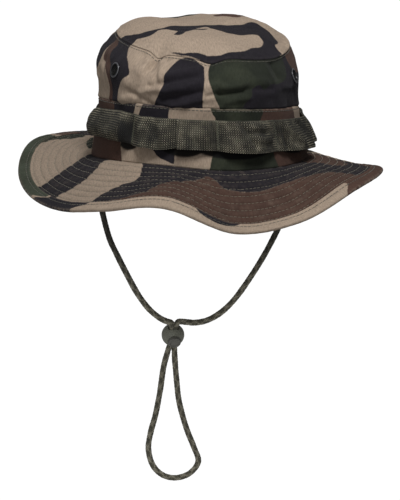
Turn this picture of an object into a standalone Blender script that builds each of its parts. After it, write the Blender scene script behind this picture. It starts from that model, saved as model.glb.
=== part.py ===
"""Boonie hat: a sewn cloth crown with a wide stitched brim, a webbing band sewn
into loops, four screened vents and a chin cord with a sprung ball toggle.

The origin is the centre of the head opening, +Z points up and -Y points
forward. A direction round the hat is an angle in degrees from the front,
growing towards +X.
"""
import math

import bmesh
import bpy
from mathutils import Vector

MM = 0.001
HAT = "boonie_hat"

# Head opening and crown
HEAD_HALF_WIDTH = 87.0 * MM
HEAD_HALF_LENGTH = 102.0 * MM
# Half width and half length of the crown, mm, evenly spaced from its foot to its top seam
CROWN_HALF_WIDTH = (87.0, 85.0, 82.8, 80.6, 78.6, 78.4, 79.0, 75.3, 68.0)
CROWN_HALF_LENGTH = (102.0, 100.4, 98.3, 96.8, 95.6, 96.2, 96.4, 91.0, 81.0)
CROWN_LEAN = -1.8 * MM
# How far the top sits towards the wearer's left, and the share of the wall below that shift
TOP_SHIFT = 5.0 * MM
TOP_SHIFT_START = 0.84
# How far the crown's foot is pulled up, mm, every 30 degrees
JUNCTION_LIFT = (4.0, 2.5, 1.5, 0.0, 0.0, 0.0, 0.0, 0.0, 0.0, 1.5, 5.5, 7.0)
# Height of the top seam, mm, every 20 degrees
TOP_SEAM_HEIGHT = (86.2, 84.0, 83.0, 85.6, 89.5, 93.6, 96.8, 99.2, 99.8,
                   99.4, 99.0, 99.2, 99.0, 98.0, 95.0, 91.5, 88.8, 86.6)
TOP_CENTRE_HEIGHT = 95.5 * MM
TOP_DOME = 10.8 * MM
BAND_SEAM_HEIGHT = 43.5 * MM
BAND_SEAM_TILT = 7.5 * MM
BAND_SEAM_LOW_SIDE = 33.0

# Cloth
PANEL = 0.6 * MM
GAP = 0.3 * MM
SEAM_LAP = 5.0 * MM
SWEATBAND_HEIGHT = 26.0 * MM
SWEATBAND_CLOTH = 0.8 * MM

# Brim
BRIM_WIDTH = 60.0 * MM
# Height of the rim, mm, every 20 degrees
RIM_HEIGHT = (-32.5, -27.5, -10.0, -6.0, -10.0, -19.0, -20.5, -13.0, -7.0,
              -4.0, -2.0, 2.0, 2.0, -13.0, -24.0, -26.0, -19.0, -12.5)
BRIM_PLY = 0.5 * MM
BRIM_CORE = 0.6 * MM
BRIM_STACK = 2 * BRIM_PLY + BRIM_CORE + 2 * GAP
BRIM_TUCK = 2.2 * MM
BRIM_BEND = 0.1
BINDING_WIDTH = 11.5 * MM
BINDING_CLOTH = 0.5 * MM
BINDING_SHARE = 1 - BINDING_WIDTH / BRIM_WIDTH
PLY_END_SHARE = 1 - (GAP + BINDING_CLOTH) / BRIM_WIDTH

# Webbing band
WEBBING_WIDTH = 25.0 * MM
WEBBING_CLOTH = 1.1 * MM
WEBBING_CLEARANCE = 0.8 * MM
WEBBING_HEIGHT = 23.5 * MM
WEBBING_TILT = 6.5 * MM
WEBBING_LOW_SIDE = 35.0
# Each loop of the webbing: the tacks it runs between, in degrees, and how far it stands off
WEBBING_LOOPS = ((-105, -48, 10.5), (-48, -23, 3.5), (-23, -2, 3.0), (-2, 33, 4.0), (33, 80, 5.0),
                 (80, 125, 10.5), (125, 170, 5.0), (170, 213, 5.0), (213, 255, 5.0))

# Vents: direction round the crown in degrees, and height
VENTS = {"front_right": (-65.0, 74.0 * MM), "front_left": (60.0, 67.5 * MM),
         "rear_left": (130.0, 74.0 * MM), "rear_right": (-115.0, 76.0 * MM)}
VENT_FLANGE_RADIUS = 6.0 * MM
VENT_BARREL_RADIUS = 5.0 * MM
VENT_HOLE_RADIUS = 5.4 * MM
VENT_BORE_RADIUS = 4.3 * MM

# Chin cord: points of its three stretches, mm
CORD_DIAMETER = 4.4 * MM
CORD_PINCHED = 3.6 / 4.4
CORD_STEP = 9.0 * MM
CORD_RIGHT = ((-83.1, 0, -2.4), (-82.6, 0, -15), (-81, 0, -30), (-78.4, 0, -46), (-73.4, -0.3, -66),
              (-67.4, -0.6, -80), (-60, -1, -95.5), (-51.5, -2, -112), (-43, -3.8, -124.4),
              (-35, -6.2, -131.8), (-29.2, -8.2, -135), (-25.2, -8.3, -136.4),
              (-23.65, -6.5, -138.6), (-23.65, -4.6, -142), (-23.65, -0.6, -149.5))
CORD_LEFT = ((83.1, 0, -3.8), (82, 0, -15), (79, 0, -30), (74.2, 0, -46), (66.2, 0, -62.5),
             (54.5, -0.4, -84.5), (41.7, -1, -104.5), (29.4, -1.8, -120.8), (18, -2.8, -131.2),
             (6.5, -4, -137), (-4, -5.6, -138.3), (-12, -7.6, -136.9), (-18, -8.4, -136.1),
             (-19.75, -6.5, -138.6), (-19.75, -4.6, -142), (-19.75, -0.6, -149.5))
CORD_LOOP = ((-23.65, -0.3, -149.8), (-23.65, 4.1, -158.2), (-25, 5.6, -164), (-28.8, 5.2, -178),
             (-32, 4, -198), (-36, 3, -217.5), (-40.2, 2, -232), (-42.4, 1.2, -246),
             (-39.2, 0.4, -260), (-31, 0, -269.3), (-19.6, 0, -272.6), (-7.8, 0, -269.2),
             (-0.6, 0.4, -259.5), (-4.2, 1, -247), (-9.5, 1.6, -233), (-13.6, 2.4, -219),
             (-16.6, 3.4, -205), (-18, 4.4, -190), (-19.2, 5.2, -174), (-19.6, 5.5, -164),
             (-19.75, 4.1, -158.2), (-19.75, -0.3, -149.8))
TAB_HALF_ANGLE = 4.0
TAB_THICKNESS = 2.0 * MM
TAB_DROP = 3.5 * MM
TAB_HEIGHT = 9.0 * MM

# Toggle: a ball, with a plunger pushed in from the front and from below
TOGGLE_CENTRE = Vector((-21.7, 0.0, -149.2)) * MM
TOGGLE_RADIUS = 9.35 * MM
PLUNGER_DIP = 28.0
PLUNGER_RADIUS = 5.1 * MM
PLUNGER_OUTER_END = 10.6 * MM
PLUNGER_INNER_END = -2.3 * MM
PLUNGER_TRAVEL = 3.0 * MM
TOGGLE_BORE_RADIUS = 5.4 * MM
TOGGLE_BORE_END = -5.6 * MM
SPRING_POCKET_RADIUS = 3.2 * MM
SPRING_POCKET_END = -7.9 * MM
SPRING_RADIUS = 2.4 * MM
SPRING_WIRE = 0.45 * MM
SPRING_TURNS = 3
CORD_HOLE_OFFSET = 0.6 * MM

SEGMENTS = 40


# ---------------------------------------------------------------- shape of the hat

def spline(p0, p1, p2, p3, u):
    """Catmull-Rom value between p1 and p2."""
    return p1 + (p2 - p0 + (p0 * 2 - p1 * 5 + p2 * 4 - p3 + (p1 * 3 - p2 * 3 + p3 - p0) * u) * u) * u * 0.5


def around(table, angle):
    """Value of a table whose entries are evenly spaced round the hat."""
    place = angle / 360 * len(table) % len(table)
    first = int(place)
    near = [table[(first + k - 1) % len(table)] for k in range(4)]
    return spline(*near, place - first)


def along(table, share):
    """Value of a table whose entries are evenly spaced from 0 to 1."""
    last = len(table) - 1
    place = min(max(share, 0), 1) * last
    first = min(int(place), last - 1)
    near = [table[min(max(first + k - 1, 0), last)] for k in range(4)]
    return spline(*near, place - first)


def foot_height(angle):
    return around(JUNCTION_LIFT, angle) * MM


def top_seam_height(angle):
    return around(TOP_SEAM_HEIGHT, angle) * MM


def band_seam_height(angle):
    return BAND_SEAM_HEIGHT + BAND_SEAM_TILT * math.cos(math.radians(angle + BAND_SEAM_LOW_SIDE))


def webbing_middle_height(angle):
    return WEBBING_HEIGHT + WEBBING_TILT * math.cos(math.radians(angle + WEBBING_LOW_SIDE))


def crown_share(angle, height):
    """Share of the crown's height, from its foot to its top seam."""
    return (height - foot_height(angle)) / (top_seam_height(angle) - foot_height(angle))


def crown(angle, share):
    """Point on the outside of the crown's wall."""
    turn = math.radians(angle)
    foot = foot_height(angle)
    shift = TOP_SHIFT * (max(share - TOP_SHIFT_START, 0) / (1 - TOP_SHIFT_START)) ** 1.5
    return Vector((along(CROWN_HALF_WIDTH, share) * MM * math.sin(turn) + CROWN_LEAN * share + shift,
                   -along(CROWN_HALF_LENGTH, share) * MM * math.cos(turn),
                   foot + share * (top_seam_height(angle) - foot)))


def crown_top(angle, share):
    """Point on the top panel, from its seam at 0 to its centre at 1."""
    edge = crown(angle, 1)
    centre = Vector((CROWN_LEAN + TOP_SHIFT, 0, TOP_CENTRE_HEIGHT))
    point = edge.lerp(centre, share)
    point.z += TOP_DOME * (1 - (1 - share) ** 5)
    return point


def outward(angle):
    """Level direction that points straight out of the head opening's edge."""
    turn = math.radians(angle)
    return Vector((math.sin(turn) / HEAD_HALF_WIDTH, -math.cos(turn) / HEAD_HALF_LENGTH, 0)).normalized()


def brim(angle, share):
    """Point on the middle of the brim, from the crown at 0 to the rim at 1."""
    turn = math.radians(angle)
    foot = foot_height(angle)
    drop = foot - around(RIM_HEIGHT, angle) * MM
    slope = math.asin(drop / (BRIM_WIDTH * (1 - BRIM_BEND / 2)))
    reach = fall = 0.0
    steps = 24
    for step in range(steps):
        at = (step + 0.5) / steps * share
        here = slope * min(1, max(at, 0) / BRIM_BEND)
        reach += math.cos(here) * share * BRIM_WIDTH / steps
        fall += math.sin(here) * share * BRIM_WIDTH / steps
    edge = Vector((HEAD_HALF_WIDTH * math.sin(turn), -HEAD_HALF_LENGTH * math.cos(turn), 0))
    return edge + outward(angle) * reach + Vector((0, 0, foot - BRIM_STACK / 2 - GAP - fall))


def lifted(surface, angle, share, height, side):
    """Point of a surface moved along its normal."""
    round_step = surface(angle + 0.5, share) - surface(angle - 0.5, share)
    up_step = surface(angle, share + 0.01) - surface(angle, share - 0.01)
    normal = round_step.cross(up_step).normalized() * side
    return surface(angle, share) + normal * height


def on_crown(angle, height, offset):
    """Point beside the crown's wall at a height, offset outward from its face."""
    return lifted(crown, angle, min(crown_share(angle, height), 0.985), offset, 1)


def on_brim(angle, share, offset):
    """Point above the middle of the brim."""
    return lifted(brim, angle, share, offset, -1)


# ---------------------------------------------------------------- building tools

def clear_scene():
    for thing in list(bpy.data.objects):
        bpy.data.objects.remove(thing, do_unlink=True)


def new_collection(name):
    group = bpy.data.collections.new(name)
    bpy.context.scene.collection.children.link(group)
    return group


def new_material(name, colour, roughness, metallic=0.0):
    material = bpy.data.materials.new(name)
    material.use_nodes = True
    shader = material.node_tree.nodes["Principled BSDF"]
    shader.inputs["Base Color"].default_value = (*colour, 1)
    shader.inputs["Roughness"].default_value = roughness
    shader.inputs["Metallic"].default_value = metallic
    return material


def add_object(name, data, group, material=None):
    thing = bpy.data.objects.new(name, data)
    group.objects.link(thing)
    if material:
        data.materials.append(material)
    return thing


def mesh_from(name, points, faces):
    mesh = bpy.data.meshes.new(name)
    mesh.from_pydata(points, [], faces)
    mesh.update()
    mesh.shade_smooth()
    return mesh


def solidify(thing, thickness):
    """Give an open sheet its thickness, half on each side."""
    shell = thing.modifiers.new("cloth", 'SOLIDIFY')
    shell.thickness = thickness
    shell.offset = 0
    shell.use_even_offset = True


def ring_faces(rows, count, fold):
    """Triangles between rings; from row fold on, the quads are split the other way."""
    faces = []
    for row in range(rows - 1):
        for k in range(count):
            near = row * count + k
            near_next = row * count + (k + 1) % count
            far, far_next = near + count, near_next + count
            if row < fold:
                faces += [(near, near_next, far_next), (near, far_next, far)]
            else:
                faces += [(near, near_next, far), (near_next, far_next, far)]
    return faces


def cloth_ring(name, row_points, thickness, material, group, segments=SEGMENTS, fold=99):
    """Closed ring of cloth; row_points(angle) gives its points from one edge to the other."""
    columns = [row_points(360 * k / segments) for k in range(segments)]
    rows = len(columns[0])
    points = [columns[k][row] for row in range(rows) for k in range(segments)]
    mesh = mesh_from(name, points, ring_faces(rows, segments, fold))
    thing = add_object(name, mesh, group, material)
    solidify(thing, thickness)
    return thing


def cloth_patch(name, angles, row_points, thickness, material, group):
    """Small sheet between two directions round the hat."""
    columns = [row_points(angle) for angle in angles]
    rows = len(columns[0])
    points = [point for column in columns for point in column]
    faces = [(k * rows + row, (k + 1) * rows + row, (k + 1) * rows + row + 1, k * rows + row + 1)
             for k in range(len(angles) - 1) for row in range(rows - 1)]
    thing = add_object(name, mesh_from(name, points, faces), group, material)
    solidify(thing, thickness)
    return thing


def turned(name, profile, steps, material, group):
    """Closed profile of (radius, height) points turned about Z."""
    mesh = bpy.data.meshes.new(name)
    points = [(radius, 0, height) for radius, height in profile]
    edges = [(k, (k + 1) % len(points)) for k in range(len(points))]
    mesh.from_pydata(points, edges, [])
    thing = add_object(name, mesh, group, material)
    screw = thing.modifiers.new("turn", 'SCREW')
    screw.steps = steps
    screw.render_steps = steps
    screw.use_merge_vertices = True
    screw.merge_threshold = 0.00001
    screw.use_smooth_shade = True
    return thing


def cylinder_mesh(name, radius, low, high, sides):
    mesh = bpy.data.meshes.new(name)
    work = bmesh.new()
    bmesh.ops.create_cone(work, cap_ends=True, segments=sides, radius1=radius, radius2=radius,
                          depth=high - low)
    bmesh.ops.translate(work, verts=work.verts, vec=(0, 0, (high + low) / 2))
    work.to_mesh(mesh)
    work.free()
    return mesh


def box_mesh(name, low, high):
    mesh = bpy.data.meshes.new(name)
    work = bmesh.new()
    bmesh.ops.create_cube(work, size=1)
    size = [top - bottom for top, bottom in zip(high, low)]
    bmesh.ops.scale(work, verts=work.verts, vec=size)
    bmesh.ops.translate(work, verts=work.verts, vec=[(a + b) / 2 for a, b in zip(low, high)])
    work.to_mesh(mesh)
    work.free()
    return mesh


def cut(thing, cutter):
    boolean = thing.modifiers.new("cut", 'BOOLEAN')
    boolean.operation = 'DIFFERENCE'
    boolean.object = cutter


def as_cutter(thing):
    thing.hide_render = True
    thing.display_type = 'WIRE'
    return thing


# ---------------------------------------------------------------- crown

def build_crown(group, cloth, lining):
    def side_rows(angle):
        low = crown_share(angle, band_seam_height(angle))
        lap = crown_share(angle, band_seam_height(angle) + SEAM_LAP)
        shares = [low] + [lap + (0.99 - lap) * step for step in (0, 0.3, 0.56, 0.76, 0.9, 1)]
        return [lifted(crown, angle, share, -PANEL / 2, 1) for share in shares]

    def band_rows(angle):
        low = foot_height(angle)
        seam = band_seam_height(angle)
        inset = -(PANEL + GAP + PANEL / 2)
        heights = (low, (low + seam) / 2, seam, seam + SEAM_LAP)
        return [on_crown(angle, height, inset) for height in heights]

    def top_rows(angle):
        return [lifted(crown_top, angle, share, PANEL / 2, 1) for share in (0.015, 0.08, 0.22, 0.6)]

    def seam_rows(angle):
        inset = -(PANEL + GAP + PANEL / 2)
        corner = lifted(crown, angle, 0.985, inset, 1)
        corner.z -= GAP
        return [lifted(crown, angle, 0.93, inset, 1), corner,
                lifted(crown_top, angle, 0.07, inset, 1)]

    def sweatband_rows(angle):
        foot = foot_height(angle)
        inset = -(2 * PANEL + 2 * GAP + SWEATBAND_CLOTH / 2)
        return [on_crown(angle, foot + height, inset) for height in
                (0, SWEATBAND_HEIGHT / 2, SWEATBAND_HEIGHT)]

    side = cloth_ring("crown_side_panel", side_rows, PANEL, cloth, group)
    cloth_ring("crown_band", band_rows, PANEL, cloth, group)
    cloth_ring("crown_seam_binding", seam_rows, PANEL, lining, group)
    cloth_ring("sweatband", sweatband_rows, SWEATBAND_CLOTH, lining, group)
    top = cloth_ring("crown_top_panel", top_rows, PANEL, cloth, group)
    close_centre(top.data, crown_top(0, 1) + Vector((0, 0, PANEL / 2)))
    return side


def close_centre(mesh, centre):
    """Fill a ring of cloth's last row with a fan about a centre point."""
    work = bmesh.new()
    work.from_mesh(mesh)
    work.verts.ensure_lookup_table()
    last_row = work.verts[-SEGMENTS:]
    middle = work.verts.new(centre)
    for k in range(SEGMENTS):
        work.faces.new((last_row[k], last_row[(k + 1) % SEGMENTS], middle))
    work.to_mesh(mesh)
    work.free()
    mesh.shade_smooth()


def build_label(group, material):
    def rows(angle):
        foot = foot_height(angle)
        inset = -(2 * PANEL + 4 * GAP + SWEATBAND_CLOTH + PANEL / 2)
        return [on_crown(angle, foot + height * MM, inset) for height in (5, 14, 23)]

    cloth_patch("blank_label", [171, 180, 189], rows, PANEL * 0.7, material, group)


# ---------------------------------------------------------------- brim

def build_brim(group, cloth, core):
    shares = (-BRIM_TUCK / BRIM_WIDTH, 0.1, 0.33, 0.57, BINDING_SHARE, PLY_END_SHARE)
    ply_offset = BRIM_CORE / 2 + GAP + BRIM_PLY / 2

    def ply(offset):
        return lambda angle: [on_brim(angle, share, offset) for share in shares]

    cloth_ring("brim_top_ply", ply(ply_offset), BRIM_PLY, cloth, group)
    cloth_ring("brim_interlining", ply(0), BRIM_CORE, core, group)
    cloth_ring("brim_bottom_ply", ply(-ply_offset), BRIM_PLY, cloth, group)


def build_binding(group, cloth):
    offset = BRIM_STACK / 2 + GAP + BINDING_CLOTH / 2
    edge = 1 - BINDING_CLOTH / 2 / BRIM_WIDTH

    def rows(angle):
        places = ((BINDING_SHARE, 1), (PLY_END_SHARE, 1), (edge, 0.5),
                  (edge, -0.5), (PLY_END_SHARE, -1), (BINDING_SHARE, -1))
        return [on_brim(angle, share, offset * side) for share, side in places]

    cloth_ring("brim_edge_binding", rows, BINDING_CLOTH, cloth, group, fold=3)


# ---------------------------------------------------------------- webbing band

def webbing_stand_off(angle):
    """How far the webbing stands off the crown: nothing at a tack, most in a loop's middle."""
    for start, end, height in WEBBING_LOOPS:
        place = (angle - start) % 360 / (end - start)
        if place < 1:
            return height * MM * math.sin(math.pi * place) ** 1.2
    return 0.0


def build_webbing(group, webbing):
    base = WEBBING_CLEARANCE - (PANEL + GAP) + WEBBING_CLOTH / 2

    def rows(angle):
        middle = webbing_middle_height(angle)
        points = []
        for step in (-1, 0, 1):
            height = middle + step * WEBBING_WIDTH / 2
            points.append(on_crown(angle, height, base + webbing_stand_off(angle)))
            points[-1].z = height
        return points

    cloth_ring("webbing_band", rows, WEBBING_CLOTH, webbing, group, segments=2 * SEGMENTS)


# ---------------------------------------------------------------- vents

def build_vents(group, cutters, panel, enamel, wire):
    eyelet = ((VENT_FLANGE_RADIUS - 0.5 * MM, 1.1 * MM), (VENT_FLANGE_RADIUS, 0.7 * MM),
              (VENT_FLANGE_RADIUS, 0.35 * MM), (VENT_BARREL_RADIUS, 0.35 * MM),
              (VENT_BARREL_RADIUS, -3.2 * MM), (VENT_BORE_RADIUS, -3.2 * MM),
              (VENT_BORE_RADIUS, 0.9 * MM))
    screen = ((0, 0), (VENT_BORE_RADIUS - GAP, 0), (VENT_BORE_RADIUS - GAP, -0.4 * MM), (0, -0.4 * MM))
    washer = ((VENT_FLANGE_RADIUS + 0.3 * MM, -2.6 * MM), (VENT_FLANGE_RADIUS + 0.3 * MM, -3.1 * MM),
              (VENT_BARREL_RADIUS + GAP, -3.1 * MM), (VENT_BARREL_RADIUS + GAP, -2.6 * MM))
    for place, (angle, height) in VENTS.items():
        share = crown_share(angle, height)
        centre = crown(angle, share)
        normal = lifted(crown, angle, share, 1, 1) - centre
        frame = bpy.data.objects.new("vent_frame_" + place, None)
        group.objects.link(frame)
        frame.location = centre
        frame.rotation_mode = 'QUATERNION'
        frame.rotation_quaternion = normal.to_track_quat('Z', 'X')
        hole = cylinder_mesh("hole", VENT_HOLE_RADIUS, -6 * MM, 6 * MM, 16)
        pieces = [turned("vent_eyelet_" + place, eyelet, 12, enamel, group),
                  turned("vent_washer_" + place, washer, 12, enamel, group),
                  add_object("vent_screen_" + place,
                             cylinder_mesh("screen", VENT_BORE_RADIUS - GAP, -0.4 * MM, 0, 16),
                             group, wire),
                  as_cutter(add_object("vent_hole_" + place, hole, cutters))]
        for piece in pieces:
            piece.parent = frame
        cut(panel, pieces[-1])


# ---------------------------------------------------------------- chin cord

def cord_points(route):
    """Smooth curve through a route, with a point about every two diameters."""
    route = [Vector(point) * MM for point in route]
    points = []
    for k in range(len(route) - 1):
        before = route[max(k - 1, 0)]
        after = route[min(k + 2, len(route) - 1)]
        steps = max(1, round((route[k + 1] - route[k]).length / CORD_STEP))
        points += [spline(before, route[k], route[k + 1], after, step / steps) for step in range(steps)]
    return points + [route[-1]]


def build_cord(name, route, group, material):
    curve = bpy.data.curves.new(name, 'CURVE')
    curve.dimensions = '3D'
    curve.bevel_depth = CORD_DIAMETER / 2
    curve.bevel_resolution = 2
    curve.use_fill_caps = True
    points = cord_points(route)
    path = curve.splines.new('POLY')
    path.points.add(len(points) - 1)
    for knot, point in zip(path.points, points):
        knot.co = (*point, 1)
        pinched = (point - TOGGLE_CENTRE).length < TOGGLE_RADIUS + 4 * MM
        knot.radius = CORD_PINCHED if pinched else 1
    return add_object(name, curve, group, material)


def build_tab(name, angle, group, material):
    inset = -(2 * PANEL + 3 * GAP + SWEATBAND_CLOTH + TAB_THICKNESS / 2)

    def rows(at):
        foot = foot_height(angle)
        top = on_crown(at, foot + TAB_HEIGHT, inset)
        bottom = on_crown(at, foot, inset)
        bottom.z = foot - TAB_DROP
        return [bottom, top]

    angles = [angle - TAB_HALF_ANGLE, angle, angle + TAB_HALF_ANGLE]
    cloth_patch(name, angles, rows, TAB_THICKNESS, material, group)


# ---------------------------------------------------------------- toggle

def build_toggle(group, cutters, plastic, metal):
    """The toggle's pieces are drawn with the plunger's axis along +Z, then tipped."""
    frame = bpy.data.objects.new("toggle_frame", None)
    group.objects.link(frame)
    frame.location = TOGGLE_CENTRE
    frame.rotation_euler = (math.radians(90 + PLUNGER_DIP), 0, 0)

    body_mesh = bpy.data.meshes.new("toggle_body")
    work = bmesh.new()
    bmesh.ops.create_uvsphere(work, u_segments=20, v_segments=12, radius=TOGGLE_RADIUS)
    work.to_mesh(body_mesh)
    work.free()
    body_mesh.shade_smooth()
    body = add_object("toggle_body", body_mesh, group, plastic)
    plunger = add_object("toggle_plunger", cylinder_mesh("toggle_plunger", PLUNGER_RADIUS,
                                                         PLUNGER_INNER_END, PLUNGER_OUTER_END, 20),
                         group, plastic)
    chamfer = plunger.modifiers.new("edges", 'BEVEL')
    chamfer.width = 0.4 * MM
    chamfer.segments = 1
    chamfer.limit_method = 'ANGLE'

    bore = cylinder_mesh("bore", TOGGLE_BORE_RADIUS, TOGGLE_BORE_END, 2 * TOGGLE_RADIUS, 20)
    pocket = cylinder_mesh("pocket", SPRING_POCKET_RADIUS, SPRING_POCKET_END, 0, 16)
    middle = CORD_HOLE_OFFSET
    reach = 2 * TOGGLE_RADIUS
    mouth = box_mesh("cord_hole", (-4.5 * MM, -reach, middle - 2.5 * MM),
                     (4.5 * MM, reach, middle + 2.5 * MM))
    slot_end = middle + 2.0 * MM + PLUNGER_TRAVEL
    slot = box_mesh("plunger_slot", (-4.1 * MM, -reach, middle - 2.1 * MM), (4.1 * MM, reach, slot_end))
    tools = [as_cutter(add_object("toggle_" + mesh.name, mesh, cutters))
             for mesh in (bore, pocket, mouth, slot)]
    for tool in tools[:3]:
        cut(body, tool)
    cut(plunger, tools[3])

    spring = build_spring(group, metal)
    for piece in [body, plunger, spring] + tools:
        piece.parent = frame


def build_spring(group, metal):
    curve = bpy.data.curves.new("toggle_spring", 'CURVE')
    curve.dimensions = '3D'
    curve.bevel_depth = SPRING_WIRE / 2
    curve.bevel_resolution = 2
    curve.use_fill_caps = True
    low = SPRING_POCKET_END + GAP + SPRING_WIRE / 2
    high = PLUNGER_INNER_END - GAP - SPRING_WIRE / 2
    per_turn = 10
    count = SPRING_TURNS * per_turn + 1
    wire = curve.splines.new('POLY')
    wire.points.add(count - 1)
    for k, knot in enumerate(wire.points):
        turn = 2 * math.pi * k / per_turn
        knot.co = (SPRING_RADIUS * math.cos(turn), SPRING_RADIUS * math.sin(turn),
                   low + (high - low) * k / (count - 1), 1)
    return add_object("toggle_spring", curve, group, metal)


# ---------------------------------------------------------------- the hat

def main():
    clear_scene()
    group = new_collection(HAT)
    cutters = new_collection("cutters")
    crown_cloth = new_material("crown_cloth", (0.24, 0.19, 0.15), 0.9)
    brim_cloth = new_material("brim_cloth", (0.22, 0.17, 0.14), 0.9)
    lining = new_material("lining", (0.10, 0.10, 0.07), 0.9)
    core = new_material("interlining", (0.55, 0.53, 0.48), 0.95)
    webbing = new_material("webbing", (0.04, 0.045, 0.035), 0.75)
    label = new_material("label", (0.6, 0.6, 0.57), 0.8)
    enamel = new_material("black_enamel", (0.01, 0.01, 0.01), 0.35, 0.6)
    wire = new_material("vent_wire", (0.02, 0.02, 0.02), 0.5, 0.8)
    cord = new_material("braided_cord", (0.10, 0.095, 0.07), 0.85)
    plastic = new_material("toggle_plastic", (0.08, 0.085, 0.075), 0.5)
    metal = new_material("spring_steel", (0.6, 0.6, 0.6), 0.3, 1.0)

    side = build_crown(group, crown_cloth, lining)
    build_label(group, label)
    build_brim(group, brim_cloth, core)
    build_binding(group, brim_cloth)
    build_webbing(group, webbing)
    build_vents(group, cutters, side, enamel, wire)
    build_tab("cord_tab_right", -90, group, webbing)
    build_tab("cord_tab_left", 90, group, webbing)
    build_cord("chin_cord_right", CORD_RIGHT, group, cord)
    build_cord("chin_cord_left", CORD_LEFT, group, cord)
    build_cord("chin_cord_loop", CORD_LOOP, group, cord)
    build_toggle(group, cutters, plastic, metal)


main()
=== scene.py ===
import contextlib
import math

import bmesh
import bpy
import numpy as np
from mathutils import Matrix, Vector


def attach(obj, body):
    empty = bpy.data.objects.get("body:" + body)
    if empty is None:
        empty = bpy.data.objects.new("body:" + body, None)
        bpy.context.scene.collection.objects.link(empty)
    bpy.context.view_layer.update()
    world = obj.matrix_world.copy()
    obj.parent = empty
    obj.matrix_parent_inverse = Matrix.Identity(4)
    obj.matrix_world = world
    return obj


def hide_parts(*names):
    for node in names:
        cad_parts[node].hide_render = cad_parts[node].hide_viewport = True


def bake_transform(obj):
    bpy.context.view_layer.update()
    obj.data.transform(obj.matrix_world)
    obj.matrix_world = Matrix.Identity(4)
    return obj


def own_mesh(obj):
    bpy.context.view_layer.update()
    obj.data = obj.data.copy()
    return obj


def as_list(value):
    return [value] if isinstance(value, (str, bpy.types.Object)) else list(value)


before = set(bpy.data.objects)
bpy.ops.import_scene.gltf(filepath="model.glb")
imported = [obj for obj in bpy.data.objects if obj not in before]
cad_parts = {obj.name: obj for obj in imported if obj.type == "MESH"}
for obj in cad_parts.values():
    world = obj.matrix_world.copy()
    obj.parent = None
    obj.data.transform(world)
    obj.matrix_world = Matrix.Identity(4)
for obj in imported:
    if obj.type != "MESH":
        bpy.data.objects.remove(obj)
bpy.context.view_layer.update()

# Looks of the boonie hat. The origin is the centre of the head opening, +Z is up and -Y is
# forward. A direction round the hat is an angle in degrees from the front, growing towards
# +X. Every length below is in millimetres until a mesh is made.

MM = 0.001
UP = (0.0, 0.0, 1.0)

# ---------------------------------------------------------------- sizes, as in the CAD model

HEAD_HALF_WIDTH = 87.0
HEAD_HALF_LENGTH = 102.0
CROWN_HALF_WIDTH = (87.0, 85.0, 82.8, 80.6, 78.6, 78.4, 79.0, 75.3, 68.0)
CROWN_HALF_LENGTH = (102.0, 100.4, 98.3, 96.8, 95.6, 96.2, 96.4, 91.0, 81.0)
CROWN_LEAN = -1.8
TOP_SHIFT = 5.0
TOP_SHIFT_START = 0.84
JUNCTION_LIFT = (4.0, 2.5, 1.5, 0.0, 0.0, 0.0, 0.0, 0.0, 0.0, 1.5, 5.5, 7.0)
TOP_SEAM_HEIGHT = (86.2, 84.0, 83.0, 85.6, 89.5, 93.6, 96.8, 99.2, 99.8,
                   99.4, 99.0, 99.2, 99.0, 98.0, 95.0, 91.5, 88.8, 86.6)
TOP_CENTRE_HEIGHT = 95.5
TOP_DOME = 10.8
BAND_SEAM_HEIGHT = 43.5
BAND_SEAM_TILT = 7.5
BAND_SEAM_LOW_SIDE = 33.0
PANEL = 0.6
GAP = 0.3
SWEATBAND_HEIGHT = 26.0
SWEATBAND_CLOTH = 0.8
BRIM_WIDTH = 60.0
RIM_HEIGHT = (-32.5, -27.5, -10.0, -6.0, -10.0, -19.0, -20.5, -13.0, -7.0,
              -4.0, -2.0, 2.0, 2.0, -13.0, -24.0, -26.0, -19.0, -12.5)
BRIM_PLY = 0.5
BRIM_CORE = 0.6
BRIM_STACK = 2 * BRIM_PLY + BRIM_CORE + 2 * GAP
BRIM_BEND = 0.1
WEBBING_WIDTH = 25.0
WEBBING_CLOTH = 1.1
WEBBING_HEIGHT = 23.5
WEBBING_TILT = 6.5
WEBBING_LOW_SIDE = 35.0
VENTS = {"front_right": (-65.0, 74.0), "front_left": (60.0, 67.5),
         "rear_left": (130.0, 74.0), "rear_right": (-115.0, 76.0)}
CORD_DIAMETER = 4.4
CORD_PINCHED = 3.6 / 4.4
CORD_RIGHT = (
    (-83.1, 0, -2.4), (-82.6, 0, -15), (-81, 0, -30), (-78.4, 0, -46), (-73.4, -0.3, -66),
    (-67.4, -0.6, -80), (-60, -1, -95.5), (-51.5, -2, -112), (-43, -3.8, -124.4), (-35, -6.2, -131.8),
    (-29.2, -8.2, -135), (-25.2, -8.3, -136.4), (-23.65, -6.5, -138.6), (-23.65, -4.6, -142),
    (-23.65, -0.6, -149.5)
)
CORD_LEFT = (
    (83.1, 0, -3.8), (82, 0, -15), (79, 0, -30), (74.2, 0, -46), (66.2, 0, -62.5), (54.5, -0.4, -84.5),
    (41.7, -1, -104.5), (29.4, -1.8, -120.8), (18, -2.8, -131.2), (6.5, -4, -137), (-4, -5.6, -138.3),
    (-12, -7.6, -136.9), (-18, -8.4, -136.1), (-19.75, -6.5, -138.6), (-19.75, -4.6, -142),
    (-19.75, -0.6, -149.5)
)
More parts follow.
